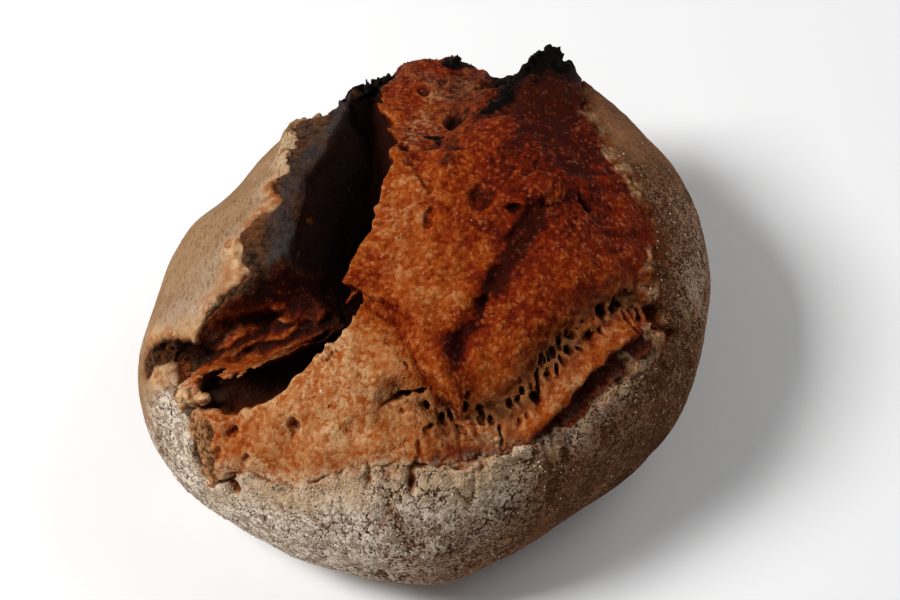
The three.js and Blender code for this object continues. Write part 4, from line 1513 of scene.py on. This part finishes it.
def crust_material(colours):
    """Floured crust: brown crust under a smooth tan coat or a crackled white one."""
    material, nodes, place, shader = new_material("floured_crust")
    masks = {name: nodes.read(name) for name in CRUST_MASKS}
    coat, amount, torn = masks["coat"], masks["flour"], masks["torn"]
    grain = use_group(nodes, grain_group(), Vector=place)
    mottle = grain["Mottle"]
    flour = use_group(nodes, flour_group(), Vector=place, Amount=amount)
    browning = (colours.crust_light, colours.crust_brown, colours.crust_dark)
    share = nodes.sum((masks["browned"], 1.0), (nodes.remap(mottle, 0.3, 0.7), 0.3), (0.15, -1.0))
    bare = nodes.ramp(share, zip(CRUST_STOPS, browning))
    shade = nodes.noise(place, 14.0, 4.0, 0.6)
    tan = tan_coat(nodes, place, colours, amount, masks["crest"], shade)
    white = nodes.mix(nodes.remap(mottle, 0.38, 0.62), colours.flour_shade, colours.flour_white)
    white = nodes.mix(nodes.remap(amount, 0.85, 0.25), white, TONES["thin_flour"])
    white = nodes.mix(nodes.math("MAXIMUM", torn, masks["warm"]), white, TONES["edge_flour"])
    colour = nodes.mix(coat, nodes.mix(flour["Cover"], bare, white), tan)
    blush = nodes.two_tone(nodes.noise(place, 5.0, 4.0, 0.6), 0.38, 0.6, "blush")
    tawny = nodes.math("MULTIPLY", masks["tawny"], nodes.remap(shade, 0.3, 0.5, 0.55, 0.95))
    colour = nodes.mix(tawny, colour, blush)
    colour = nodes.lay(colour, TONES["ember"], masks["ember"], 0.85)
    rust = nodes.math("MULTIPLY", torn, nodes.patches(place, 4.5, 0.5, 0.62, 4.0, 0.65))
    colour = nodes.lay(colour, TONES["rust"], rust, 0.75)
    flakes = nodes.math("MULTIPLY", torn, nodes.patches(place, 3.1, 0.52, 0.6, 3.0, 0.6))
    colour = nodes.lay(colour, TONES["flake"], flakes, 0.35)
    inner = nodes.two_tone(mottle, 0.35, 0.65, "inner")
    colour = nodes.mix(nodes.math("MAXIMUM", masks["wall"], masks["roasted"]), colour, inner)
    colour = nodes.mix(masks["scab"], colour, nodes.two_tone(mottle, 0.4, 0.62, "scab"))
    curd = nodes.mix(nodes.remap(mottle, 0.34, 0.58), colours.curd_shade, colours.curd_light)
    colour = nodes.mix(masks["cream"], colour, curd)
    smooth_height = nodes.math("MULTIPLY", grain["Height"], 0.35)
    height = nodes.mix_float(coat, flour["Height"], smooth_height)
    bump = nodes.add("Bump", {"Strength": 1.0, "Distance": CRUST_BUMP, "Height": height})
    settings = {
        "Base Color": scorched(nodes, place, colour, colours, masks["char"], masks["raised"]),
        "Roughness": 0.9,
        "Specular IOR Level": 0.06,
        "Normal": bump.outputs["Normal"],
    }
    nodes.fill(shader, settings)
    return material


def flour_material(colours):
    """Grains of flour and dried dough."""
    material, nodes, place, shader = new_material("loose_flour")
    pale = nodes.patches(place, 5.0, 0.35, 0.65, 2.0, 0.5)
    tone = nodes.mix(pale, TONES["grain_dull"], colours.flour_white)
    nodes.fill(shader, {"Base Color": tone, "Roughness": 0.9, "Specular IOR Level": 0.05})
    return material


# ----------------------------------------------------------------------------------------------
# Scattered crumbs

def strew_group():
    """Geometry nodes that strew small uneven grains over a mesh where its mask allows."""
    group = bpy.data.node_groups.new("strew_grains", "GeometryNodeTree")
    face = group.interface
    face.new_socket("Geometry", in_out="INPUT", socket_type="NodeSocketGeometry")
    for label, kind in (
        ("Density", "NodeSocketFloat"),
        ("Smallest", "NodeSocketFloat"),
        ("Largest", "NodeSocketFloat"),
        ("Seed", "NodeSocketInt"),
        ("Material", "NodeSocketMaterial"),
    ):
        face.new_socket(label, in_out="INPUT", socket_type=kind)
    face.new_socket("Geometry", in_out="OUTPUT", socket_type="NodeSocketGeometry")

    def add(kind, **settings):
        node = group.nodes.new(kind)
        for name, value in settings.items():
            setattr(node, name, value)
        return node

    def link(start, end):
        group.links.new(start, end)

    start = add("NodeGroupInput").outputs
    end = add("NodeGroupOutput")
    mask = add("GeometryNodeInputNamedAttribute", data_type="FLOAT")
    mask.inputs["Name"].default_value = "strew"
    density = add("ShaderNodeMath", operation="MULTIPLY")
    link(mask.outputs["Attribute"], density.inputs[0])
    link(start["Density"], density.inputs[1])
    spread = add("GeometryNodeDistributePointsOnFaces")
    link(start["Geometry"], spread.inputs["Mesh"])
    link(density.outputs[0], spread.inputs["Density"])
    link(start["Seed"], spread.inputs["Seed"])
    grain = add("GeometryNodeMeshIcoSphere")
    grain.inputs["Radius"].default_value = 0.5
    grain.inputs["Subdivisions"].default_value = 2
    dent = add("ShaderNodeTexNoise")
    dent.inputs["Scale"].default_value = 1.7
    push = add("ShaderNodeVectorMath", operation="SUBTRACT")
    link(dent.outputs["Color"], push.inputs[0])
    push.inputs[1].default_value = (0.5, 0.5, 0.5)
    uneven = add("GeometryNodeSetPosition")
    link(grain.outputs["Mesh"], uneven.inputs["Geometry"])
    link(push.outputs[0], uneven.inputs["Offset"])
    size = add("FunctionNodeRandomValue", data_type="FLOAT_VECTOR")
    low = add("ShaderNodeCombineXYZ")
    high = add("ShaderNodeCombineXYZ")
    for axis in range(3):
        link(start["Smallest"], low.inputs[axis])
        link(start["Largest"], high.inputs[axis])
    link(low.outputs[0], size.inputs["Min"])
    link(high.outputs[0], size.inputs["Max"])
    link(start["Seed"], size.inputs["Seed"])
    place = add("GeometryNodeInstanceOnPoints")
    link(spread.outputs["Points"], place.inputs["Points"])
    link(spread.outputs["Rotation"], place.inputs["Rotation"])
    link(uneven.outputs["Geometry"], place.inputs["Instance"])
    link(size.outputs["Value"], place.inputs["Scale"])
    real = add("GeometryNodeRealizeInstances")
    link(place.outputs["Instances"], real.inputs["Geometry"])
    paint_all = add("GeometryNodeSetMaterial")
    link(real.outputs["Geometry"], paint_all.inputs["Geometry"])
    link(start["Material"], paint_all.inputs["Material"])
    link(paint_all.outputs["Geometry"], end.inputs["Geometry"])
    return group


def strewn(name, host, mask, density, smallest, largest, material):
    """A plain mesh of grains strewn over the host mesh; density is grains per square metre."""
    if "strew" not in host.attributes:
        paint(host, "strew", mask)
    carrier = piece_from(name + "_carrier", host)
    group = bpy.data.node_groups.get("strew_grains") or strew_group()
    modifier = carrier.modifiers.new("strew", "NODES")
    modifier.node_group = group
    values = {
        "Density": density,
        "Smallest": smallest * MM,
        "Largest": largest * MM,
        "Seed": SEED,
        "Material": material,
    }
    for socket in group.interface.items_tree:
        if socket.in_out == "INPUT" and socket.name in values:
            modifier[socket.identifier] = values[socket.name]
    depsgraph = bpy.context.evaluated_depsgraph_get()
    mesh = bpy.data.meshes.new_from_object(carrier.evaluated_get(depsgraph))
    mesh.name = name
    carrier.modifiers.clear()
    bpy.data.objects.remove(carrier)
    return mesh


# ----------------------------------------------------------------------------------------------
# The pieces

def finish_piece(piece, material):
    """Gives a piece its material and its place in the frame."""
    piece.data.materials.clear()
    piece.data.materials.append(material)
    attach(piece, BODY)
    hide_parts(NODE)


# The boxes that the fields are read in, and how near to the surface finely, in millimetres
CRUST_BOX = ((-108.0, -110.0, -2.0), (108.0, 110.0, 104.0))
BURST_BOX = ((-104.0, -102.0, 34.0), (104.0, 106.0, 114.0))
CRUST_REACH = 3.2
BURST_REACH = 4.6
CRUST_TRIANGLES = 190000
BURST_TRIANGLES = 198000

# Grains a square metre, and the smallest grain as a share of the largest
CRUMB_DENSITY = 130000.0
FLOUR_DENSITY = 260000.0
SMALL_CRUMB = 0.31
SMALL_FLOUR = 0.28


def grown(name, field, box, step, reach, triangles):
    """A thinned mesh of the field's surface in the box, read at a step in metres."""
    vertices, quads = surface(field, *box, step / MM * QUICK_FACTOR, reach)
    return thinned(name, mesh_from("dense", vertices, quads), triangles)


class RYE_OT_floured_crust(bpy.types.Operator):
    """Makes the floured crust with its torn edge"""

    bl_idname = "rye.floured_crust"
    bl_label = "Floured crust"

    def execute(self, context):
        step = context.scene.rye_shape.crust_step
        field = crust_field(context)
        mesh = grown("floured_crust", field, CRUST_BOX, step, CRUST_REACH, CRUST_TRIANGLES)
        paint_crust(mesh, crust_map(context))
        finish_piece(piece_from("floured_crust", mesh), crust_material(context.scene.rye_colours))
        return {"FINISHED"}


class RYE_OT_burst_crumb(bpy.types.Operator):
    """Makes the torn crumb that swelled out of the crown"""

    bl_idname = "rye.burst_crumb"
    bl_label = "Burst crumb"

    def execute(self, context):
        step = context.scene.rye_shape.burst_step
        field = burst_field(context)
        mesh = grown("burst_crumb", field, BURST_BOX, step, BURST_REACH, BURST_TRIANGLES)
        paint_burst(mesh, crust_map(context))
        finish_piece(piece_from("burst_crumb", mesh), crumb_material(context.scene.rye_colours))
        return {"FINISHED"}


class RYE_OT_loose_crumbs(bpy.types.Operator):
    """Strews small baked crumbs over the torn crumb"""

    bl_idname = "rye.loose_crumbs"
    bl_label = "Loose crumbs"

    def execute(self, context):
        host = bpy.data.objects["burst_crumb"].data
        chart = crust_map(context)
        places = Places(coordinates(host))
        u, v = places.u, places.v
        open_top = smooth(0, -4, on_map(chart.tear, u, v)) * (1 - on_map(chart.in_hollow, u, v))
        open_top *= smooth(1.2, -0.2, on_map(chart.burst_rise, u, v) + places.depth)
        clumps = smooth(-0.3, 0.7, GRAIN.layers(places.points, (14, 5), (0.8, 0.5), 95.0))
        clumps = clumps * (0.12 + 0.5 * smooth(-58, -20, v + 0.5 * u))
        mask = open_top * (1 - 0.95 * on_map(chart.ashen, u, v))
        mask = mask * (1 - spot(places, BLISTER_MIDDLE, (7, 8))) * clumps
        material = bpy.data.materials["torn_crumb"]
        largest = context.scene.rye_shape.crumb_grain / MM
        mesh = strewn("loose_crumbs", host, mask, CRUMB_DENSITY, SMALL_CRUMB * largest, largest, material)
        finish_piece(piece_from("loose_crumbs", mesh), material)
        return {"FINISHED"}


class RYE_OT_loose_flour(bpy.types.Operator):
    """Strews grains of flour over the crust and its torn edge"""

    bl_idname = "rye.loose_flour"
    bl_label = "Loose flour"

    def execute(self, context):
        host = bpy.data.objects["floured_crust"].data
        chart = crust_map(context)
        points = coordinates(host)
        places = Places(points)
        edge = on_map(chart.tear, places.u, places.v)
        angle = np.degrees(np.arctan2(places.v, places.u)) % 360
        share = np.interp(angle, FLOUR_ANGLES, FLOUR_SHARES)
        clumps = smooth(-0.4, 0.6, GRAIN.layers(points, (12, 4), (0.8, 0.5), 99.0))
        outside = smooth(0.5, 3.0, edge) * smooth(5, 20, points[:, 2])
        upper_right = smooth(15, 35, angle) * smooth(110, 80, angle)
        calm = 1 - 0.93 * np.maximum(on_map(chart.ashen, places.u, places.v), upper_right)
        mask = outside * calm * clumps * (0.35 + 0.6 * share) * (0.4 + 0.6 * bell(edge, 22))
        largest = context.scene.rye_shape.flour_grain / MM
        material = flour_material(context.scene.rye_colours)
        mesh = strewn("loose_flour", host, mask, FLOUR_DENSITY, SMALL_FLOUR * largest, largest, material)
        finish_piece(piece_from("loose_flour", mesh), material)
        return {"FINISHED"}


# ----------------------------------------------------------------------------------------------
# The stage

CAMERA_TARGET = (7.4, 8.7, 30.0)
CAMERA_ELEVATION = 55.0
CAMERA_DISTANCE = 690.0
LENS = 75.0
FLOOR_HALF = 3.0
FLOOR_COLOUR = (0.92, 0.92, 0.92, 1)
FLOOR_ROUGHNESS = 0.9
WORLD_COLOUR = (1, 1, 1, 1)
WORLD_STRENGTH = 0.12
LIGHT_TARGET = (0, 0, 0.04)
# Area lights: name, place and size in metres, power in watts
LIGHTS = (
    ("key_light", (-1.0, -0.1, 1.1), 0.5, 24.0),
    ("fill_light", (1.1, 0.6, 0.9), 1.2, 9.0),
)


class RYE_OT_stage(bpy.types.Operator):
    """Makes the pale floor, the soft studio light and the camera"""

    bl_idname = "rye.stage"
    bl_label = "Stage"

    def execute(self, context):
        sides = ((-1, -1), (1, -1), (1, 1), (-1, 1))
        corners = [(x * FLOOR_HALF, y * FLOOR_HALF, 0) for x, y in sides]
        mesh = bpy.data.meshes.new("floor")
        mesh.from_pydata(corners, [], [(0, 1, 2, 3)])
        floor = piece_from("floor", mesh)
        material = bpy.data.materials.new("pale_floor")
        material.use_nodes = True
        shader = material.node_tree.nodes["Principled BSDF"]
        shader.inputs["Base Color"].default_value = FLOOR_COLOUR
        shader.inputs["Roughness"].default_value = FLOOR_ROUGHNESS
        mesh.materials.append(material)
        for light in LIGHTS:
            add_area(*light)
        world = bpy.data.worlds.new("studio")
        world.use_nodes = True
        background = world.node_tree.nodes["Background"]
        background.inputs["Color"].default_value = WORLD_COLOUR
        background.inputs["Strength"].default_value = WORLD_STRENGTH
        context.scene.world = world
        context.scene.view_settings.view_transform = "Standard"
        add_camera(context)
        return {"FINISHED"}


def add_area(name, place, size, power):
    """A square area light that faces the loaf."""
    light = bpy.data.lights.new(name, "AREA")
    light.size = size
    light.energy = power
    lamp = bpy.data.objects.new(name, light)
    lamp.location = place
    lamp.rotation_euler = (Vector(LIGHT_TARGET) - Vector(place)).to_track_quat("-Z", "Y").to_euler()
    bpy.context.scene.collection.objects.link(lamp)


def add_camera(context):
    """The camera in front of the loaf, looking down on it."""
    data = bpy.data.cameras.new("camera")
    data.lens = LENS
    camera = bpy.data.objects.new("camera", data)
    target = Vector(CAMERA_TARGET) * MM
    fall = math.radians(CAMERA_ELEVATION)
    back = Vector((0, -math.cos(fall), math.sin(fall)))
    camera.location = target + back * CAMERA_DISTANCE * MM
    camera.rotation_euler = (-back).to_track_quat("-Z", "Y").to_euler()
    context.scene.collection.objects.link(camera)
    context.scene.camera = camera


class RYE_PT_panel(bpy.types.Panel):
    """Lists the loaf's sizes and the steps that build it"""

    bl_idname = "RYE_PT_panel"
    bl_label = "Burst Rye Loaf"
    bl_space_type = "VIEW_3D"
    bl_region_type = "UI"
    bl_category = "Bakery"

    def draw(self, context):
        for group in (context.scene.rye_shape, context.scene.rye_colours):
            box = self.layout.box()
            for name in type(group).__annotations__:
                box.prop(group, name)
        for step in STEPS:
            self.layout.operator(step.bl_idname)


STEPS = (
    RYE_OT_floured_crust,
    RYE_OT_burst_crumb,
    RYE_OT_loose_crumbs,
    RYE_OT_loose_flour,
    RYE_OT_stage,
)
CLASSES = (RyeShape, RyeColours) + STEPS + (RYE_PT_panel,)


def register():
    for cls in CLASSES:
        bpy.utils.register_class(cls)
    bpy.types.Scene.rye_shape = bpy.props.PointerProperty(type=RyeShape)
    bpy.types.Scene.rye_colours = bpy.props.PointerProperty(type=RyeColours)


def unregister():
    del bpy.types.Scene.rye_colours
    del bpy.types.Scene.rye_shape
    for cls in reversed(CLASSES):
        bpy.utils.unregister_class(cls)


def main():
    register()
    bpy.ops.rye.floured_crust()
    bpy.ops.rye.burst_crumb()
    bpy.ops.rye.loose_crumbs()
    bpy.ops.rye.loose_flour()
    bpy.ops.rye.stage()


if __name__ == "__main__":
    main()
